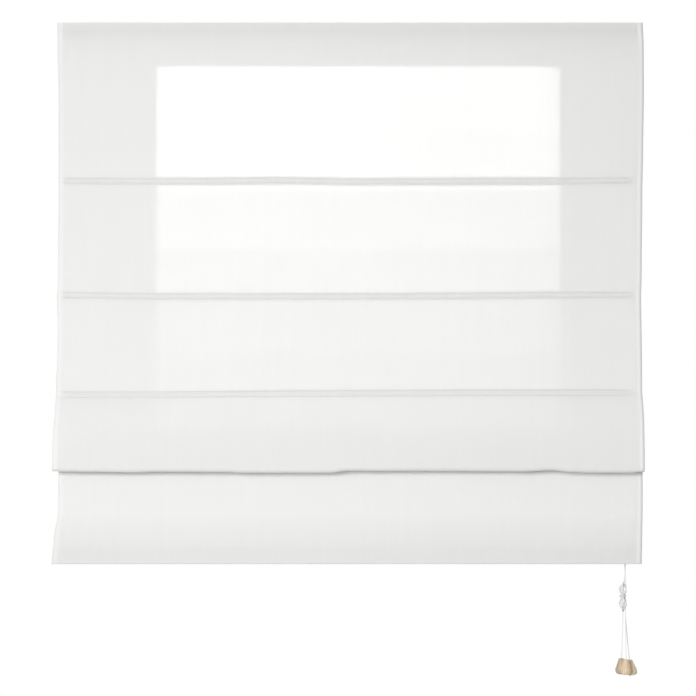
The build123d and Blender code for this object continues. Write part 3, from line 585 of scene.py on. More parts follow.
def tube(name, points, radius, material, sides=10, closed=False):
    """A round tube: at each point of the path a ring, cosine and sine of the angle times radius
    along the two sides, with its ends domed or joined; UV is length and distance round."""
    if closed:
        points = np.concatenate([points, points[:1]])
    first, second = sides_along(points)
    radii = np.full(len(points), radius)
    if not closed:
        shares = DOME_SHARES
        rise = radius * np.sqrt(1 - shares**2)
        before = points[0] + unit(points[0] - points[1]) * rise[:, None]
        after = points[-1] + unit(points[-1] - points[-2]) * rise[::-1, None]
        points = np.concatenate([before, points, after])
        first, second = (np.pad(side, ((3, 3), (0, 0)), mode="edge") for side in (first, second))
        radii = np.concatenate([shares * radius, radii, shares[::-1] * radius])
    angle = np.linspace(0.0, 2.0 * math.pi, sides + 1)
    ring = np.cos(angle)[None, :, None] * first[:, None] + np.sin(angle)[None, :, None] * second[:, None]
    places = points[:, None] + radii[:, None, None] * ring
    uv = np.stack(np.broadcast_arrays(distances(points)[:, None], angle[None, :] * radius), axis=-1)
    faces = grid_faces(len(points), sides + 1)[:, ::-1]
    return weld(mesh_piece(name, places, faces, material, uv))


def weld(piece):
    """Join the doubled points along a seam and at the poles, so that the surface is closed."""
    work = bmesh.new()
    work.from_mesh(piece.data)
    bmesh.ops.remove_doubles(work, verts=work.verts, dist=WELD_WITHIN)
    bmesh.ops.holes_fill(work, edges=[e for e in work.edges if e.is_boundary], sides=32)
    bmesh.ops.recalc_face_normals(work, faces=work.faces)
    work.to_mesh(piece.data)
    work.free()
    return piece


def smooth_route(points):
    """The points that a smooth cord through this route follows: a spline with the route's points
    as its control points."""
    curve = bpy.data.curves.new("route", "CURVE")
    curve.dimensions = "3D"
    spline = curve.splines.new("NURBS")
    spline.points.add(len(points) - 1)
    flat = np.concatenate([points, np.ones((len(points), 1))], axis=1)
    spline.points.foreach_set("co", flat.ravel())
    spline.order_u = 3
    spline.use_endpoint_u = True
    spline.resolution_u = 8
    holder = bpy.data.objects.new("route", curve)
    mesh = bpy.data.meshes.new_from_object(holder)
    found = np.empty(len(mesh.vertices) * 3)
    mesh.vertices.foreach_get("co", found)
    bpy.data.objects.remove(holder)
    bpy.data.curves.remove(curve)
    bpy.data.meshes.remove(mesh)
    return found.reshape(-1, 3)


def knot(name, centre, size, radius, material):
    """An overhand knot drawn up small: the three-lobed knot, sine plus twice the sine of the double
    angle across, cosine less twice its double along, and minus the sine of the triple angle up."""
    t = np.linspace(0.0, 2.0 * math.pi, 60, endpoint=False)
    lobes = np.stack(
        [np.sin(t) + 2 * np.sin(2 * t), np.cos(t) - 2 * np.cos(2 * t), -1.3 * np.sin(3 * t)], axis=-1
    )
    points = np.array(centre) + lobes * (size - radius) / 3.0
    return tube(name, points, radius, material, sides=8, closed=True)


# ---- acorns ----

ACORN_HEIGHT = 26.6 * MM
ACORN_R = 9.3 * MM
ACORN_GROOVE = 0.16 * MM
ACORN_GROOVES = ((0.135, 0.35 * MM), (0.80, 0.40 * MM))         # share of the height, and width
OUTSIDE_POINTS = 13            # of the profile's points, the first ones
# profile down the outside, in shares of height and of the widest radius
ACORN_PROFILE = (
    (0.0, 0.12), (0.0, 0.40), (0.012, 0.50), (0.045, 0.545), (0.10, 0.575), (0.22, 0.645),
    (0.36, 0.74), (0.50, 0.845), (0.62, 0.935), (0.70, 0.985), (0.77, 1.0), (0.84, 0.975),
    (0.91, 0.89), (0.965, 0.76), (1.0, 0.60), (1.0, 0.38), (0.93, 0.36), (0.72, 0.355),
    (0.70, 0.12), (0.35, 0.118), (0.0, 0.12),
)


def acorn(name, top, pull, material):
    """A turned bell: its profile, the outside rounded by three passes that average each point with
    its neighbours, swept round the cord's direction. The acorn_place attribute holds each point as
    across, beside and along the acorn."""
    profile = np.array(ACORN_PROFILE)
    steps = np.linspace(0, len(profile) - 1, 3 * len(profile) - 2)
    index = np.arange(len(profile))
    down = np.interp(steps, index, profile[:, 0]) * ACORN_HEIGHT
    out = np.interp(steps, index, profile[:, 1]) * ACORN_R
    outside = slice(3, 3 * OUTSIDE_POINTS)
    for _ in range(3):
        out[outside] = (np.roll(out, 1) + 2 * out + np.roll(out, -1))[outside] / 4
        down[outside] = (np.roll(down, 1) + 2 * down + np.roll(down, -1))[outside] / 4
    grooves = sum(bell(down - share * ACORN_HEIGHT, width) for share, width in ACORN_GROOVES)
    out = out - ACORN_GROOVE * grooves * (out > 0.45 * ACORN_R)
    angle = np.linspace(0.0, 2 * math.pi, 49)
    pull = unit(np.array(pull))
    first = unit(np.cross(pull, [0.0, 1.0, 0.0]))
    second = np.cross(pull, first)
    own = np.stack(
        [out[:, None] * np.cos(angle), out[:, None] * np.sin(angle), down[:, None] + 0 * angle], axis=-1
    )
    points = np.array(top) + own[..., :1] * first + own[..., 1:2] * second + own[..., 2:] * pull
    piece = mesh_piece(name, points, grid_faces(len(out), len(angle)), material)
    place = piece.data.attributes.new("acorn_place", "FLOAT_VECTOR", "POINT")
    place.data.foreach_set("vector", own.astype(np.float32).ravel())
    return weld(piece)


# ---- shader helpers ----

class Wire:
    """One output of a node. Arithmetic on wires adds Math nodes beside it."""

    def __init__(self, owner, socket):
        self.owner = owner
        self.socket = socket

    def math(self, operation, *values):
        """A Math node on this wire and other wires or numbers."""
        inputs = dict(enumerate((self,) + values))
        return self.owner.node("Math", {"operation": operation}, inputs)

    def __add__(self, other):
        return self.math("ADD", other)

    def __sub__(self, other):
        return self.math("SUBTRACT", other)

    def __mul__(self, other):
        return self.math("MULTIPLY", other)

    def __rsub__(self, other):
        return self * -1.0 + other

    __radd__ = __add__


class Nodes:
    """The nodes of a material or of the world."""

    def __init__(self, owner):
        self.owner = owner
        self.owner.use_nodes = True
        self.tree = owner.node_tree
        self.tree.nodes.clear()

    def node(self, kind, settings=None, inputs=None, output=0):
        """Add a node of any kind: its settings first, then its sockets, and give one output."""
        made = self.tree.nodes.new("ShaderNode" + kind)
        for key, value in (settings or {}).items():
            setattr(made, key, value)
        for key, value in (inputs or {}).items():
            if isinstance(value, Wire):
                self.tree.links.new(value.socket, made.inputs[key])
            else:
                made.inputs[key].default_value = value
        return Wire(self, made.outputs[output])

    def parts(self, vector):
        """The three numbers of a vector."""
        split = self.node("SeparateXYZ", inputs={0: vector})
        outputs = split.socket.node.outputs
        return [Wire(self, outputs[number]) for number in range(3)]

    def done(self, shader, kind="OutputMaterial"):
        """Send a shader to the output, and give back what these nodes belong to."""
        out = self.tree.nodes.new("ShaderNode" + kind)
        self.tree.links.new(shader.socket, out.inputs["Surface"])
        return self.owner


class Finish(Nodes):
    """A material and its nodes."""

    def __init__(self, name):
        super().__init__(bpy.data.materials.new(name))

    def place(self, source="Object", stretch=(1, 1, 1)):
        """Object or UV coordinates, stretched."""
        found = self.node("TexCoord", output=source)
        return self.node("Mapping", inputs={"Vector": found, "Scale": stretch})

    def noise(self, vector, scale, detail=3.0, roughness=0.5):
        """Noise about one half, from 0 to 1."""
        values = {"Vector": vector, "Scale": scale, "Detail": detail, "Roughness": roughness}
        return self.node("TexNoise", inputs=values)

    def streaks(self, stretch, detail=3.0, roughness=0.5, source="Object"):
        """Noise drawn out by its stretched coordinates."""
        return self.noise(self.place(source, stretch), 1.0, detail, roughness)

    def mix(self, share, first, second):
        """From one colour to another."""
        settings = {"data_type": "RGBA", "clamp_factor": True}
        return self.node("Mix", settings, {0: share, 6: first, 7: second}, output=2)

    def shade(self, colour, amount):
        """A colour made lighter or darker by a wire about 1."""
        grey = self.node("CombineColor", inputs={0: amount, 1: amount, 2: amount})
        settings = {"data_type": "RGBA", "blend_type": "MULTIPLY"}
        return self.node("Mix", settings, {0: 1.0, 6: colour, 7: grey}, output=2)

    def bump(self, height, distance, strength=1.0, under=None):
        """A normal bent by a height from 0 to 1."""
        inputs = {"Height": height, "Distance": distance, "Strength": strength}
        if under is not None:
            inputs["Normal"] = under
        return self.node("Bump", inputs=inputs)

    def surface(self, colour, roughness, normal=None, **constants):
        """The main shader, with everything that is the same all over set on its own sockets."""
        inputs = {"Base Color": colour, "Roughness": roughness}
        inputs.update({key.replace("_", " "): value for key, value in constants.items()})
        if normal is not None:
            inputs["Normal"] = normal
        return self.node("BsdfPrincipled", inputs=inputs)


# ---- materials ----

WARP_PITCH = 0.42 * MM
WEFT_PITCH = 0.50 * MM
THREAD_TWIST = 0.5 * MM
BRAID_PITCH = 1.1 * MM
BRAID_STRANDS = 8
LATHE_PITCH = 0.35 * MM
WOOD_LIGHT = (0.74, 0.59, 0.42, 1.0)
WOOD_DARK = (0.56, 0.415, 0.27, 1.0)
HEM_SHADE = 85.0 * MM          # length of cloth above the bottom hem where less light passes and painted shade darkens it
HEM_LETS_THROUGH = 0.35        # share of the light that still passes there
HEM_PAINTED_SHADE = 0.15              # and how much painted shade darkens its colour there


def woven_cloth(name, colour, light_through, doubled_through):
    """Plain weave: the sine across times the sine along, one thread over and one under, with
    thicker threads here and there; part of the light passes through, and less of it where the
    side hems double the cloth and towards the bottom hem, where painted shade also darkens its colour."""
    finish = Finish(name)
    place = finish.place("UV")
    across, along, _ = finish.parts(place)
    warp = (across * (math.pi / WARP_PITCH)).math("SINE")
    weft = (along * (math.pi / WEFT_PITCH)).math("SINE")
    weave = warp * weft * 0.5 + 0.5
    warp_slubs = finish.streaks((1400.0, 22.0, 1.0), 2.0, source="UV")
    weft_slubs = finish.streaks((18.0, 1100.0, 1.0), 2.0, source="UV")
    slubs = (warp_slubs + weft_slubs) * 0.5
    streaks = finish.streaks((95.0, 3.0, 1.0), source="UV")
    clouds = finish.streaks((7.0, 6.0, 1.0), source="UV")
    to_hem = (along - (S_BOTTOM - HEM_SHADE)) * (1 / HEM_SHADE)
    near_hem = to_hem.math("MINIMUM", 1.0).math("MAXIMUM", 0.0)
    shade = (streaks - 0.5) * 0.026 + (clouds - 0.5) * 0.018 + (slubs - 0.5) * 0.06 + 1.0
    # painted shade: the colour darkens over the last stretch of cloth above the bottom hem
    shade = shade - near_hem * HEM_PAINTED_SHADE
    colour = finish.shade(colour, shade)
    roughness = 0.80 + (slubs - 0.5) * 0.25
    creases = finish.streaks((26.0, 16.0, 1.0), 4.0, 0.6, "UV")
    soft = finish.bump(creases, 0.9 * MM, 0.18)
    threads = finish.bump(weave * 0.75 + slubs * 0.5, 0.05 * MM, 0.5, soft)
    front = finish.surface(
        colour, roughness, threads, Sheen_Weight=0.25, Sheen_Roughness=0.5, Specular_IOR_Level=0.25
    )
    through = finish.node("BsdfTranslucent", inputs={"Color": colour, "Normal": threads})
    past_hem = (across.math("ABSOLUTE") - (HALF - SIDE_HEM)) * (1 / MM)
    doubled = past_hem.math("MINIMUM", 1.0).math("MAXIMUM", 0.0)
    share = light_through + doubled * (doubled_through - light_through)
    share = share * (near_hem * (HEM_LETS_THROUGH - 1.0) + 1.0)
    return finish.done(finish.node("MixShader", inputs={0: share, 1: front, 2: through}))


def thread_finish(name, colour):
    """Twisted polyester thread: slanting ribs on a slightly glossy white."""
    finish = Finish(name)
    x, y, z = finish.parts(finish.place())
    ribs = ((x + y + z) * (2 * math.pi / THREAD_TWIST)).math("SINE") * 0.5 + 0.5
    colour = finish.shade(colour, ribs * 0.10 + 0.92)
    normal = finish.bump(ribs, 0.04 * MM, 0.6)
    return finish.done(finish.surface(colour, ribs * 0.1 + 0.45, normal, Sheen_Weight=0.2))


def braided_cord(name, colour, radius):
    """Braid: two sets of strands wound opposite ways, each a sine of length plus or minus distance
    round, and the higher of the two lies on top."""
    finish = Finish(name)
    length, around, _ = finish.parts(finish.place("UV"))
    run = length * (2 * math.pi / BRAID_PITCH)
    turn = around * (BRAID_STRANDS / 2 / radius)
    one = (run + turn).math("SINE")
    other = (run - turn).math("SINE")
    over = one.math("MAXIMUM", other) * 0.5 + 0.5
    fuzz = finish.noise(finish.place("Object"), 5200.0, 2.0)
    colour = finish.shade(colour, over * 0.10 + fuzz * 0.06 + 0.76)
    normal = finish.bump(over + fuzz * 0.3, 0.12 * MM, 0.6)
    rough = 0.72 + (fuzz - 0.5) * 0.2
    return finish.done(finish.surface(colour, rough, normal, Sheen_Weight=0.3, Sheen_Roughness=0.4))


def turned_wood(name, tone):
    """Pale turned wood: growth rings across a slanting grain, fine pores drawn out along it and
    the lathe's faint marks round it, under a thin satin seal."""
    finish = Finish(name)
    own = finish.node("Attribute", {"attribute_name": "acorn_place"}, output=1)
    across, beside, along = finish.parts(own)
    warp = finish.noise(own, 120.0, 3.0)
    grain = across * 1500.0 + beside * 420.0 + along * 90.0 + warp * 2.6
    rings = grain.math("SINE") * 0.5 + 0.5
    stretched = finish.node("Mapping", inputs={"Vector": own, "Scale": (2600.0, 2600.0, 160.0)})
    pores = finish.noise(stretched, 1.0, 3.0, 0.6)
    lathe = (along * (2 * math.pi / LATHE_PITCH)).math("SINE") * 0.5 + 0.5
    colour = finish.mix(rings * 0.55 + (pores - 0.5) * 0.9, WOOD_LIGHT, WOOD_DARK)
    # tone is painted light or painted shade: it makes each acorn's copy of the wood lighter or darker
    colour = finish.shade(colour, tone - (pores - 0.5).math("MAXIMUM", 0.12) * 0.5)
    normal = finish.bump(pores * 0.7 + lathe * 0.3, 0.06 * MM, 0.6)
    rough = 0.42 + pores * 0.22
    return finish.done(finish.surface(colour, rough, normal, Coat_Weight=0.25, Coat_Roughness=0.25))


def moulded(name, colour, roughness, scale, depth, **constants):
    """Moulded plastic: fine mould texture and faint flow clouds."""
    finish = Finish(name)
    place = finish.place()
    grain = finish.noise(place, scale, 2.0)
    flow = finish.noise(place, 60.0, 3.0)
    tone = finish.shade(colour, 0.97 + (flow - 0.5) * 0.08 + grain * 0.03)
    shader = finish.surface(
        tone, roughness + (flow - 0.5) * 0.14, finish.bump(grain, depth, 0.5), **constants
    )
    return finish.done(shader)


def powder_coat(name, colour):
    """Powder coat on extruded aluminium: orange-peel bump, a trace of the die lines along X."""
    finish = Finish(name)
    peel = finish.noise(finish.place(), 900.0, 2.0)
    lines = finish.streaks((6.0, 900.0, 900.0), 2.0)
    dust = finish.noise(finish.place(), 14.0, 4.0)
    tone = finish.shade(colour, 0.98 + (dust - 0.5) * 0.06)
    normal = finish.bump(peel * 0.7 + lines * 0.3, 0.05 * MM, 0.5)
    return finish.done(finish.surface(tone, 0.38 + (peel - 0.5) * 0.12, normal, Coat_Weight=0.2))


def drawn_metal(name, colour, roughness, stretch):
    """Bare metal with fine lines drawn along one direction."""
    finish = Finish(name)
    lines = finish.streaks(stretch)
    smudge = finish.noise(finish.place(), 45.0, 3.0)
    tone = finish.shade(colour, 0.9 + lines * 0.14 + (smudge - 0.5) * 0.08)
    rough = roughness + (lines - 0.5) * 0.16 + (smudge - 0.5) * 0.12
    return finish.done(finish.surface(tone, rough, finish.bump(lines, 0.02 * MM, 0.5), Metallic=1.0))


def zinc_plate(name, colour):
    """Zinc plating: small pale crystals in two greys with a slightly uneven shine."""
    finish = Finish(name)
    crystal = finish.node(
        "TexVoronoi", {"feature": "F1"}, {"Vector": finish.place(), "Scale": 420.0}, output=1
    )
    grey = finish.node("SeparateColor", inputs={0: crystal})
    bloom = finish.noise(finish.place(), 60.0, 4.0)
    tone = finish.shade(colour, 0.88 + grey * 0.12 + (bloom - 0.5) * 0.12)
    normal = finish.bump(finish.noise(finish.place(), 1500.0, 2.0), 0.02 * MM, 0.5)
    return finish.done(finish.surface(tone, 0.32 + (bloom - 0.5) * 0.2, normal, Metallic=1.0))


def glass_fibre(name, colour):
    """Pulled glass-fibre rod: long fibres under clear resin."""
    finish = Finish(name)
    fibres = finish.streaks((9.0, 4200.0, 4200.0))
    tone = finish.shade(colour, 0.92 + fibres * 0.14)
    normal = finish.bump(fibres, 0.03 * MM, 0.5)
    return finish.done(finish.surface(tone, 0.3 + fibres * 0.12, normal, Coat_Weight=0.4))


def hooks_or_loops(name, colour, scale, depth, rough):
    """Touch tape: close rows of hooks, or a tangle of brushed loops."""
    finish = Finish(name)
    tufts = finish.node(
        "TexVoronoi", {"feature": "F1"}, {"Vector": finish.place(), "Scale": scale}
    )
    fuzz = finish.noise(finish.place(), scale * 3.0, 3.0)
    tone = finish.shade(colour, 0.98 - tufts * 0.28 + (fuzz - 0.5) * 0.1)
    height = (1.0 - tufts) * 0.7 + fuzz * 0.3
    normal = finish.bump(height, depth, 0.9)
    return finish.done(finish.surface(tone, rough + (fuzz - 0.5) * 0.1, normal, Sheen_Weight=0.3))


COLOURS = {m["slot"]: tuple(m["base_color"]) + (1.0,) for m in frame["record"]["materials"]}
CLOTH_WHITE = (0.93, 0.93, 0.922, 1.0)
THREAD_WHITE = (0.90, 0.90, 0.89, 1.0)
BAR_GREY = (0.90, 0.90, 0.90, 1.0)
LIGHT_THROUGH = 0.33           # share of the light that passes through one layer of cloth
THROUGH_SIDE_HEM = 0.16        # and through the doubled cloth of a side hem


def steel(name):
    """Ground steel, its lines round the pin."""
    return drawn_metal(name, COLOURS["pins"], 0.25, (900.0, 40.0, 900.0))


cloth_finish = woven_cloth("woven cloth", CLOTH_WHITE, LIGHT_THROUGH, THROUGH_SIDE_HEM)
thread = thread_finish("sewing thread", THREAD_WHITE)
braid = braided_cord("braided cord", COLOURS["cords"], CORD_R)
# painted light and shade: one copy of the wood for each acorn, the left one darkened as if in shade, the
# other two lightened as if lit
ACORN_PAINTED_LIGHT_AND_SHADE = {"left": 0.74, "middle": 1.06, "right": 1.10}
acorn_woods_lit_and_shaded = {side: turned_wood(f"turned wood {side}", tone) for side, tone in ACORN_PAINTED_LIGHT_AND_SHADE.items()}
white_moulding = moulded("white moulding", COLOURS["end_caps"], 0.42, 1400.0, 0.03 * MM)
clear_ring = moulded(
    "ring moulding", COLOURS["rings"], 0.18, 700.0, 0.01 * MM, Transmission_Weight=0.25, IOR=1.49
)
nylon = moulded("nylon moulding", COLOURS["housings"], 0.5, 1100.0, 0.04 * MM)
acetal = moulded("acetal", COLOURS["rollers"], 0.28, 900.0, 0.02 * MM)
cap_finish = moulded("rod cap moulding", COLOURS["rod_caps"], 0.5, 1600.0, 0.03 * MM)

# by what the names of the CAD nodes start with
NODE_FINISHES = {
    "head_rail": powder_coat("powder coat", COLOURS["rail"]),
    "rail_end_cap": white_moulding,
    "hook_tape": hooks_or_loops("hook tape", COLOURS["hook_tape"], 760.0, 0.35 * MM, 0.5),
    "loop_tape": hooks_or_loops("loop tape", COLOURS["loop_tape"], 1300.0, 0.30 * MM, 0.85),
    "bracket": zinc_plate("zinc plate", COLOURS["brackets"]),
    "slot_screws": zinc_plate("plated screws", COLOURS["fasteners"]),
    "slide_nuts": zinc_plate("plated nuts", COLOURS["fasteners"]),
    "cord_guide": nylon,
    "cord_lock_housing": nylon,
    "guide_roller": acetal,
    "lock_guide_roller": acetal,
    "guide_pin": steel("ground steel"),
    "lock_guide_pin": steel("ground pin"),
    "lock_roller_pin": steel("lock pin steel"),
    "lock_roller": drawn_metal("brass", COLOURS["lock_roller"], 0.3, (1500.0, 60.0, 1500.0)),
    "hem_weight_bar": drawn_metal("mill aluminium", BAR_GREY, 0.55, (5.0, 700.0, 700.0)),
    "ring": clear_ring,
}
for row in ROWS:
    NODE_FINISHES[f"rod_{row}_end_caps"] = cap_finish
    NODE_FINISHES[f"rod_{row}"] = glass_fibre(f"glass fibre {row}", COLOURS["rods"])


# each CAD node gets the finish with the longest name that its own name starts with
for node, piece in nodes.items():
    fits = [key for key in NODE_FINISHES if node.startswith(key)]
    if fits:
        piece.data.materials.clear()
        piece.data.materials.append(NODE_FINISHES[max(fits, key=len)])

# ---- cords and acorns ----

LINE_X = 476.0 * MM
LINE_Y = {"left": -19.4 * MM, "middle": -17.0 * MM, "right": -14.6 * MM}
HANK_X = 472.3 * MM
HANK_Y = -17.0 * MM
HANK_Z = HANK_TOP - 32.5 * MM
OFF_THE_LOCK = 8.4 * MM        # the first stretch of a pull cord, straight out of the lock
# where each cord leaves the hank, and the middle of its acorn's top, in millimetres
LEAVING = {
    "left": (472.6, -16.0, -995.5), "middle": (476.6, -18.6, -995.5), "right": (476.9, -15.0, -995.5),
}
ACORN_TOPS = {
    "left": (470.9, -11.6, -1083.6), "middle": (476.4, -26.9, -1082.4), "right": (484.6, -9.4, -1086.2),
}
# how far each acorn's foot swings out of its cord's line: (to the right, towards the wall)
ACORN_SWINGS = {"left": (-0.05, 0.0), "middle": (-0.02, 0.0), "right": (0.10, -0.20)}
SETTLES = 14.0 * MM            # below the hank, before a cord starts to lean
ENTERS_UP = 24.0 * MM          # over its first loop, where a cord leaves its upright line
HALFWAY_UP = 10.0 * MM         # and where it is halfway to the loop
LEAVES_OVER = 5.0 * MM         # straight cord over and under the place where it leaves the hank
LEAVES_UNDER = 4.0 * MM
LEANS_FOR = 30.0 * MM          # straight cord where it starts to lean
OVER_ACORN = 8.0 * MM          # and over and inside its acorn's top
IN_ACORN = 6.0 * MM
KNOT_BELOW_TOP = 21.1 * MM
STEPS_PER_LOOP = 16
# the loops of each cord in the hank, from the first to the last, in millimetres and degrees: half
# its width, half its height, how far right and up its middle lies, towards the wall, and its turn
LOOPS = {
    "left": (
        (6.0, 18.0, -0.9, 1.0, -4.6, 8), (6.5, 18.5, -0.8, -1.0, -4.2, -14),
        (6.2, 21.0, 0.2, -2.0, -3.2, 24), (5.8, 18.5, 0.4, 0.0, -2.4, 10),
    ),
    "middle": (
        (6.5, 27.0, 0.8, -0.5, -0.6, 66), (6.5, 25.5, 0.2, -0.5, 0.2, 74),
        (6.0, 19.0, 0.6, 2.5, -1.0, 30),
    ),
    "right": (
        (6.0, 18.5, 0.4, 0.0, 3.2, -20), (6.4, 18.5, 0.6, -2.0, 3.6, 12),
        (6.2, 19.0, -0.8, 0.0, 4.2, -28), (5.8, 18.5, 0.4, 1.0, 3.0, 0),
    ),
}
TIE_R = 6.1 * MM
TIE_HALF_HEIGHT = 9.0 * MM
TIE_UP = 1.0 * MM
TIE_TURNS = 2
TIE_START = 0.3                # radians
TIE_PAST_END = 0.2


def crossed_loops(loops, past_end):
    """Control points of long crossed loops, one after another: the sine of twice the angle across,
    the cosine up and a share of the sine in depth, from an eighth of the first loop on, and this
    many steps past the last one's eighth. Each loop's sizes, place and turn about the upright
    change smoothly into the next one's."""
    count = len(loops) - 1
    way = np.arange(count * STEPS_PER_LOOP + past_end + 1) / STEPS_PER_LOOP
    knots = np.array(loops, float).T
    half_width, half_height, right, up, back, turn = [np.interp(way, range(count + 1), k) for k in knots]
    angle = 2 * math.pi * (way + 1 / 8)
    across = half_width * np.sin(2 * angle)
    depth = 1.1 * np.sin(angle)
    turn = np.radians(turn)
    x = right + across * np.cos(turn) - depth * np.sin(turn)
    y = back + across * np.sin(turn) + depth * np.cos(turn)
    z = up + half_height * np.cos(angle)
    return np.array([HANK_X, HANK_Y, HANK_Z]) + np.stack([x, y, z], axis=-1) * MM


def tie_passes():
    """Control points of the cord wound round the bundle's waist: cosine and sine of the angle
    times the tie's radius, falling as a cube does, steep at both ends and nearly level between."""
    share = np.linspace(0.0, 1.0, 12 * TIE_TURNS)
    angle = 2 * math.pi * TIE_TURNS * share - TIE_START + TIE_PAST_END * share
    fall = TIE_HALF_HEIGHT * (2 * share - 1) ** 3
    x = HANK_X + TIE_R * np.cos(angle)
    y = HANK_Y - TIE_R * np.sin(angle)
    return np.stack([x, y, HANK_Z + TIE_UP - fall], axis=-1)


def hanging_end(column):
    """The cord below the hank: where it leaves, where it starts to lean, its acorn's top, the
    direction of its pull there, and the acorn's own direction."""
    leave, top = np.array(LEAVING[column]) * MM, np.array(ACORN_TOPS[column]) * MM
    lean = leave - [0.0, 0.0, SETTLES]
    pull = unit(top - lean)
    return leave, lean, top, pull, unit(pull + [*ACORN_SWINGS[column], 0.0])


def pull_cord(column):
    """One pull cord: straight down from the lock, through the hank, and out to its acorn."""
    y = LINE_Y[column]
    leave, lean, top, pull, hang = hanging_end(column)
    inside = top + hang * KNOT_BELOW_TOP
    if column == "middle":
        passes = np.concatenate([crossed_loops(LOOPS[column], 0), tie_passes()])
    else:
        passes = crossed_loops(LOOPS[column], 1)
        passes = np.concatenate([passes, [(passes[-1] + leave) / 2]])
    start = [
        [LINE_X, y, LOCK_MOUTH],
        [LINE_X, y, LOCK_MOUTH - OFF_THE_LOCK],
        [LINE_X, y, passes[0, 2] + ENTERS_UP],
        [(LINE_X + passes[0, 0]) / 2, (y + passes[0, 1]) / 2, passes[0, 2] + HALFWAY_UP],
    ]
    end = [
        leave + [0.0, 0.0, LEAVES_OVER],
        leave - [0.0, 0.0, LEAVES_UNDER],
        lean,
        lean + pull * LEANS_FOR,
        top - pull * OVER_ACORN,
        top + hang * IN_ACORN,
        inside,
    ]
    points = smooth_route(np.concatenate([start, passes, end]))
    piece = tube(f"pull_cord_{column}", points, CORD_R, braid, sides=8)
    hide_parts(f"pull_cord_{column}_upper", f"pull_cord_{column}_lower")
    bell_piece = acorn(f"turned_acorn_{column}", top, hang, acorn_woods_lit_and_shaded[column])
    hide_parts(f"acorn_{column}")
    tied = knot(f"acorn_knot_{column}", inside, ACORN_KNOT_SIZE, TIGHT_CORD_R, braid)
    return piece


pull_cords = {column: pull_cord(column) for column in COLUMNS}
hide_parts("cord_hank")


def lift_cord(column):
    """One lift cord: from its knot in the lowest ring straight up, over its roller, along the rail
    to the lock's roller and down through the lock."""
    ring = middle(f"ring_4_{column}")
    roller = middle(f"guide_roller_{column}")
    lock = middle("lock_guide_roller")
    y = LINE_Y[column]
    bend = roller.x - ring.x
    over = arc((roller.x, roller.z), bend, 180.0, 90.0)[::4]
    along_rail = arc((lock.x, lock.z), bend, 90.0, 0.0)[::4]
    path = np.concatenate([[[ring.x, ring.z]], over, along_rail, [[LINE_X, LOCK_MOUTH]]])
    points = np.stack([path[:, 0], np.full(len(path), y), path[:, 1]], axis=-1)
    piece = tube(f"braided_lift_cord_{column}", points, CORD_R, braid, sides=10)
    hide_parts(f"lift_cord_{column}")
    knot(f"ring_knot_{column}", (ring.x, ring.y, ring.z), RING_KNOT_SIZE, CORD_R, braid)


for column in COLUMNS:
    lift_cord(column)

# ---- cloth pieces ----

rows = cloth_rows()
columns = np.linspace(-HALF, HALF, COLUMN_COUNT)
cloth = sheet_piece("blind_cloth", columns, rows, cloth_finish)
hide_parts("cloth")

hem_rows = rows[(rows > S_TOP + SIDE_HEM_FROM) & (rows < S_HEM_SEAM)]
hem_columns = np.linspace(HALF - SIDE_HEM, HALF - SIDE_HEM_EDGE, 5)
with_cloth = [
    sheet_piece("side_hem_left", -hem_columns[::-1], hem_rows, cloth_finish, LAYER),
    sheet_piece("side_hem_right", hem_columns, hem_rows, cloth_finish, LAYER),
]
for number, row in enumerate(ROWS):
    with_cloth.append(rod_tunnel(f"rod_tunnel_{row}", number, cloth_finish))

seams = [
    ("top_hem_upper", S_TOP + TOP_SEAMS[0], HEM_STITCHED_HALF),
    ("top_hem_lower", S_TOP + TOP_SEAMS[1], HEM_STITCHED_HALF),
]
for number, station in enumerate(S_ROD, start=1):
    seams.append((f"rod_{number}_upper", station - SEAM_OFF_ROD, STITCHED_HALF))
    seams.append((f"rod_{number}_lower", station + SEAM_OFF_ROD, STITCHED_HALF))
seams.append(("rod_4", S_HIDDEN_SEAM, STITCHED_HALF))
seams.append(("bottom_hem", S_HEM_SEAM, HEM_STITCHED_HALF))
for word, s, half in seams:
    with_cloth.append(seam_across(f"{word}_stitches", s, half, thread))
side_s = stitch_centres(S_TOP + SIDE_STITCHES_FROM, S_HEM_SEAM)
for side, word in ((-1, "left"), (1, "right")):
    x = np.full(len(side_s), side * SIDE_STITCHES_X)
    with_cloth.append(stitches(f"side_hem_{word}_stitches", x, side_s, 0, thread))


def ring_threads(name, number):
    """Thread that sews one row of rings on: three oval loops round each ring's front and into the
    tunnel, at small angles to each other."""
    t = np.linspace(0.0, 2 * math.pi, 24, endpoint=False)
    loops = []
    for column in COLUMNS:
        ring = middle(f"ring_{number}_{column}")
        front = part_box(f"ring_{number}_{column}")[0].y + RING_THREAD_BACK
        for lean in (-1.0, 0.0, 1.0):
            x = ring.x + lean * (RING_THREAD_APART + RING_THREAD_LEAN * np.cos(t))
            y = front + RING_THREAD_HALF_DEPTH * np.cos(t)
            z = ring.z + RING_THREAD_HALF_HEIGHT * np.sin(t)
            loops.append(np.stack([x, y, z], axis=-1))
    pieces = [
        tube(f"{name}_{turn}", loop, RING_THREAD_R, thread, sides=6, closed=True)
        for turn, loop in enumerate(loops)
    ]
    with bpy.context.temp_override(active_object=pieces[0], selected_editable_objects=pieces):
        bpy.ops.object.join()
    pieces[0].name = name
    return pieces[0]


for row in ROWS:
    with_cloth.append(ring_threads(f"ring_threads_{row}", row))

# ---- floor, light and camera ----

FLOOR_X = 2.0
FLOOR_FRONT = -2.2
FLOOR_BACK = 1.3
FLOOR_Z = -2.0
FLOOR_COLOUR = (0.80, 0.80, 0.79, 1.0)


def floor_material():
    """A plain pale floor with the faintest mottling."""
    finish = Finish("pale floor")
    mottle = finish.noise(finish.place(), 3.0, 3.0)
    tone = finish.shade(FLOOR_COLOUR, 0.99 + (mottle - 0.5) * 0.02)
    return finish.done(finish.surface(tone, 0.7))


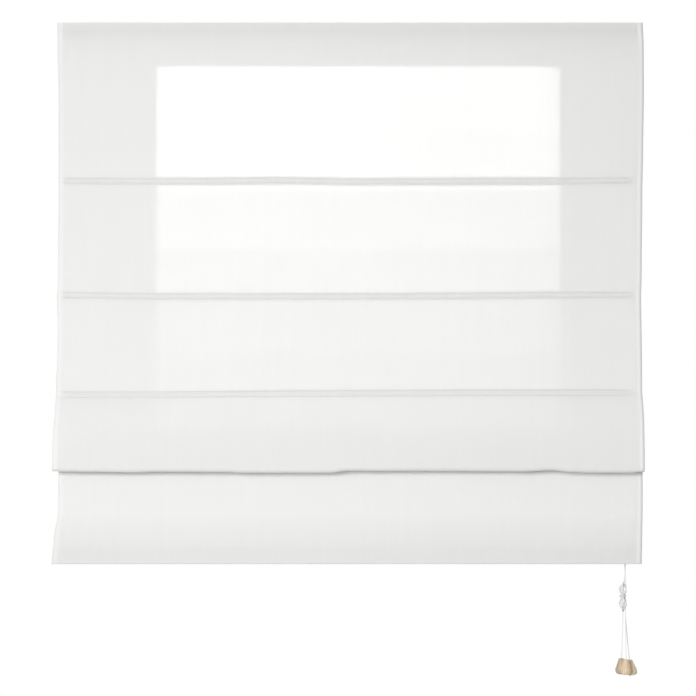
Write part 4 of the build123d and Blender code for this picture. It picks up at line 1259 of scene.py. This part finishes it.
def make_floor():
    """A level plane under the hanging blind."""
    corners = [
        (-FLOOR_X, FLOOR_FRONT, FLOOR_Z), (FLOOR_X, FLOOR_FRONT, FLOOR_Z),
        (FLOOR_X, FLOOR_BACK, FLOOR_Z), (-FLOOR_X, FLOOR_BACK, FLOOR_Z),
    ]
    mesh = bpy.data.meshes.new("floor")
    mesh.from_pydata(corners, [], [[0, 1, 2, 3]])
    mesh.materials.append(floor_material())
    new_object("floor", mesh)


def area_light(name, place, look_at, size, power, spread):
    """A rectangular lamp facing a point."""
    lamp = bpy.data.lights.new(name, "AREA")
    lamp.shape = "RECTANGLE"
    lamp.size, lamp.size_y = size
    lamp.energy = power
    lamp.spread = math.radians(spread)
    holder = new_object(name, lamp)
    holder.location = place
    direction = np.array(look_at) - np.array(place)
    holder.rotation_euler = (
        math.atan2(math.hypot(direction[0], direction[1]), -direction[2]),
        0.0,
        math.atan2(direction[1], direction[0]) - math.pi / 2,
    )
    holder.visible_camera = False


IN_FRONT = 0.45                # the world's strength as light
BEHIND = 0.80
FROM_BELOW = 0.09              # share of it that comes from under the blind
WALL_TO_ROOM = (0.35, -0.35)   # the direction's Y, from behind to in front
UPWARDS = (-0.5, 0.1)          # and its Z, from below to level
KEY_POWER = 56.0
KEY_SPREAD = 110.0
KEY_PLACE = (-1.5, -4.4, 0.15)
KEY_AIM = (0.15, 0.0, -0.65)
KEY_SIZE = (1.3, 1.3)
GLOW_POWER = 11.0              # watts for each square metre
GLOW_SPREAD = 60.0
GLOW_Y = -26.0 * MM            # close behind the cloth
GLOW_MIDDLE = 14.5 * MM
GLOW_WIDTHS = (642.0 * MM, 668.0 * MM, 694.0 * MM)
GLOW_TOP = -62.0 * MM
# heights of the daylight's bands, from the top down, and each one's share of its strength
GLOW_BANDS = (
    (0.10, 1.0), (0.11, 0.95), (0.10, 0.68), (0.09, 0.50), (0.09, 0.30), (0.09, 0.20), (0.07, 0.08),
)


def make_world():
    """White to the eye; as light, it differs from the room, from behind and from below, by smooth
    steps in the direction's Y and Z."""
    world = bpy.data.worlds.new("studio")
    bpy.context.scene.world = world
    nodes_of = Nodes(world)

    def ramp(value, reach, low, high):
        """From low to high while the value goes through its reach."""
        start, end = reach
        inputs = {"Value": value, "From Min": start, "From Max": end, "To Min": low, "To Max": high}
        return nodes_of.node("MapRange", {"interpolation_type": "SMOOTHSTEP"}, inputs)

    _, y, z = nodes_of.parts(nodes_of.node("TexCoord", output="Generated"))
    light = ramp(y, WALL_TO_ROOM, BEHIND, IN_FRONT) * ramp(z, UPWARDS, FROM_BELOW, 1.0)
    seen = nodes_of.node("LightPath", output="Is Camera Ray")
    strength = nodes_of.node("Mix", inputs={"Factor": seen, "A": light, "B": 1.0}, output="Result")
    inputs = {"Color": (1.0, 1.0, 1.0, 1.0), "Strength": strength}
    nodes_of.done(nodes_of.node("Background", inputs=inputs), "OutputWorld")


def make_lights():
    """A broad soft lamp in front, to the left and a little above, and daylight through the upper
    middle of the cloth, in bands that fade downwards and sideways."""
    area_light("soft_key", KEY_PLACE, KEY_AIM, KEY_SIZE, KEY_POWER, KEY_SPREAD)
    top = GLOW_TOP
    for number, (height, share) in enumerate(GLOW_BANDS):
        place = (GLOW_MIDDLE, GLOW_Y, top - height / 2)
        facing = (GLOW_MIDDLE, -1.0, place[2])
        for step, width in enumerate(GLOW_WIDTHS):
            power = GLOW_POWER * share * width * height / len(GLOW_WIDTHS)
            name = f"daylight_{number}_{step}"
            area_light(name, place, facing, (width, height), power, GLOW_SPREAD)
        top -= height


CAMERA_PLACE = (-0.0031, -3.44, -0.5456)
SENSOR = 36.0                  # millimetres
LENS = 102.35


def make_camera():
    """Level camera straight in front of the blind."""
    lens = bpy.data.cameras.new("camera")
    lens.sensor_width = SENSOR
    lens.lens = LENS
    holder = new_object("camera", lens)
    holder.location = CAMERA_PLACE
    holder.rotation_euler = (math.pi / 2, 0.0, 0.0)
    bpy.context.scene.camera = holder


make_floor()
make_world()
make_lights()
make_camera()
bpy.context.scene.view_settings.view_transform = "Standard"
